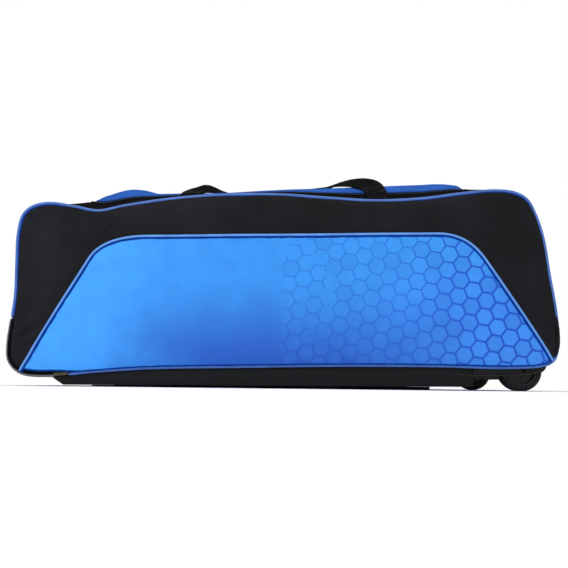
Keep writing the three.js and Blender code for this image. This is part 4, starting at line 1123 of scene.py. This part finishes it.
rounded_copy("base_tray", "base_tray_moulding", black_moulding, 1.2)
rounded_copy("wheel_carriage", "wheel_carriage_moulding", black_moulding, 1.0)
rounded_copy("skid_rail_front", "near_skid_rail", black_moulding, 0.9)
rounded_copy("skid_rail_back", "far_skid_rail", black_moulding, 0.9)


def carriage_lip():
    """The thin moulded lip along the carriage's front face, which turns up behind the wheel. Its pale colour is a
    painted highlight.
    """
    points = [(LIP_START, LIP_LOW), (350, LIP_LOW - 0.6), (400, LIP_LOW + 0.4), (430, LIP_LOW + 4), (446, LIP_LOW + 13)]
    line = evenly(smooth_curve(points, np.linspace(0, 1, 200), False), 60)
    path = np.stack([line[:, 0], np.full(60, -LIP_FACE), line[:, 1]], 1)
    side, up = path_frame(path, np.tile((0.0, -1.0, 0.0), (60, 1)))
    return sweep(path, side, up, flat_section(1.8, 1.6), ends=tapered(60))


LIP_START = 296
LIP_LOW = 27
LIP_FACE = 152.6
finish_piece(carriage_lip(), "wheel_carriage_lip", painted_highlight_lip)


# Wheels

def turned(profile, centre, steps=72):
    """A closed section of (radius, y) points, spun about the wheel's axle."""
    bm = bmesh.new()
    verts = [bm.verts.new(place((centre[0], centre[1] + y, centre[2] + r))) for r, y in profile]
    edges = [bm.edges.new((verts[i], verts[(i + 1) % len(verts)])) for i in range(len(verts))]
    bmesh.ops.spin(bm, geom=verts + edges, cent=place(centre), axis=(0, 1, 0), angle=2 * math.pi, steps=steps,
                   use_merge=True)
    bmesh.ops.remove_doubles(bm, verts=bm.verts, dist=1e-6)
    bmesh.ops.recalc_face_normals(bm, faces=bm.faces)
    return bm


def tread_section():
    half = WHEEL_WIDTH / 2
    outer = [(27, half - 1.2), (27.6, half), (30, half), (33.4, half - 1.1), (35.3, half - 3.2), (36, half - 5.6)]
    pale_and_lit_colour = []
    for dark_and_shaded_colour in (5.2, 0, -5.2):
        pale_and_lit_colour += [(36, dark_and_shaded_colour + 0.9), (35, dark_and_shaded_colour + 0.6), (35, dark_and_shaded_colour - 0.6), (36, dark_and_shaded_colour - 0.9)]
    lower = [(r, -y) for r, y in reversed(outer)]
    return outer + pale_and_lit_colour + lower


def hub_section():
    half = WHEEL_WIDTH / 2
    face = [(4.5, half - 2.2), (8.6, half - 2.2), (9.4, half - 3.0), (9.6, half - 6), (22.6, half - 6), (23.4, half - 1.2),
            (24.2, half - 0.6), (26.4, half - 0.6), (27.05, half - 1.2)]
    return face + [(r, -y) for r, y in reversed(face)]


for place_name, node, side in (("near", "front", -1), ("far", "back", 1)):
    centre = (WHEEL_X, side * WHEEL_TRACK / 2, WHEEL_RADIUS)
    body = f"{place_name}_wheel"
    finish_piece(turned(tread_section(), centre), f"{body}_tread", tyre, [f"wheel_{node}"], body, 40)
    bm = turned(hub_section(), centre)
    for number in range(5):
        for face in (-1, 1):
            spin = Matrix.Rotation(number * 2 * math.pi / 5 + 0.3, 4, "Y")
            spot = Matrix.Translation(Vector((0, face * 8.2 * MM, 16 * MM)))
            size = Matrix.Diagonal((5.0 * MM, 4.4 * MM, 14.5 * MM, 1))
            made = bmesh.ops.create_cube(bm, size=1, matrix=Matrix.Translation(place(centre)) @ spin @ spot @ size)
            edges = list({e for v in made["verts"] for e in v.link_edges})
            bmesh.ops.bevel(bm, geom=edges, offset=0.7 * MM, offset_type="OFFSET", segments=2, profile=0.5,
                            affect="EDGES", clamp_overlap=True, material=-1)
    finish_piece(bm, f"{body}_hub", hub, (), body, 34)
    end = PIN_LENGTH / 2
    pin = [(0.01, -end), (AXLE_RADIUS - 0.6, -end), (AXLE_RADIUS, 0.6 - end), (AXLE_RADIUS, end - 0.6),
           (AXLE_RADIUS - 0.6, end), (0.01, end)]
    finish_piece(turned(pin, centre, 32), f"{place_name}_axle_pin", steel, [f"axle_{node}"], flat_angle=34)

# Slider of the lid's zip, on the back run

rounded_copy("lid_zip_slider", "lid_zip_slider_body", slider_metal, 0.5)

# Floor, light and camera

floor_bm = bmesh.new()
bmesh.ops.create_grid(floor_bm, x_segments=1, y_segments=1, size=1.8)
floor_mesh = bpy.data.meshes.new("floor")
floor_bm.to_mesh(floor_mesh)
floor_bm.free()
floor_material, _, _ = new_material("matt_white_floor", 1.0, "ffffff", 0.0)
floor_mesh.materials.append(floor_material)
floor = bpy.data.objects.new("floor", floor_mesh)
bpy.context.scene.collection.objects.link(floor)

world = bpy.data.worlds.new("studio")
bpy.context.scene.world = world
world.use_nodes = True
sky = world.node_tree
backdrop = sky.nodes["Background"]
backdrop.inputs["Color"].default_value = (1, 1, 1, 1)
# The backdrop is pure white, and lights the bag less than it shows
ROOM_LIGHT = 0.68
seen = add_node(sky, "ShaderNodeLightPath").outputs["Is Camera Ray"]
sky.links.new(maths(sky, "MULTIPLY_ADD", seen, 1 - ROOM_LIGHT, ROOM_LIGHT), backdrop.inputs["Strength"])


def softbox(name, location, target, size, power, colour="ffffff"):
    light = bpy.data.lights.new(name, "AREA")
    light.shape = "RECTANGLE"
    light.size, light.size_y = size
    light.energy = power
    light.color = srgb(colour)[:3]
    box = bpy.data.objects.new(name, light)
    box.location = location
    box.rotation_mode = "QUATERNION"
    box.rotation_quaternion = (Vector(target) - Vector(location)).to_track_quat("-Z", "Y")
    bpy.context.scene.collection.objects.link(box)


softbox("overhead", (0, 0, 3.2), (0, 0, 0), (4.0, 4.0), 54)
softbox("front_left", (-1.7, -2.3, 1.7), (0, 0, 0.2), (1.1, 1.1), 26, "e6f0ff")

CAMERA_HEIGHT = 8
CAMERA_X = -45
CAMERA_Y = -1317
CAMERA_PITCH = 8.398
CAMERA_ROLL = 0.64
PHOTO_FOCAL = 675
PHOTO_SIZE = 568
PHOTO_MIDDLE_X = 258

camera_data = bpy.data.cameras.new("camera")
camera_data.sensor_width = 36
camera_data.lens = PHOTO_FOCAL / PHOTO_SIZE * 36
camera_data.shift_x = (PHOTO_SIZE / 2 - PHOTO_MIDDLE_X) / PHOTO_SIZE
camera_data.clip_start = 0.01
camera = bpy.data.objects.new("camera", camera_data)
camera.matrix_world = (
    Matrix.Translation(place((CAMERA_X, CAMERA_Y, CAMERA_HEIGHT)))
    @ Matrix.Rotation(math.radians(90 + CAMERA_PITCH), 4, "X")
    @ Matrix.Rotation(math.radians(CAMERA_ROLL), 4, "Z")
)
bpy.context.scene.collection.objects.link(camera)
bpy.context.scene.camera = camera
bpy.context.scene.view_settings.view_transform = "Standard"

bpy.context.view_layer.update()
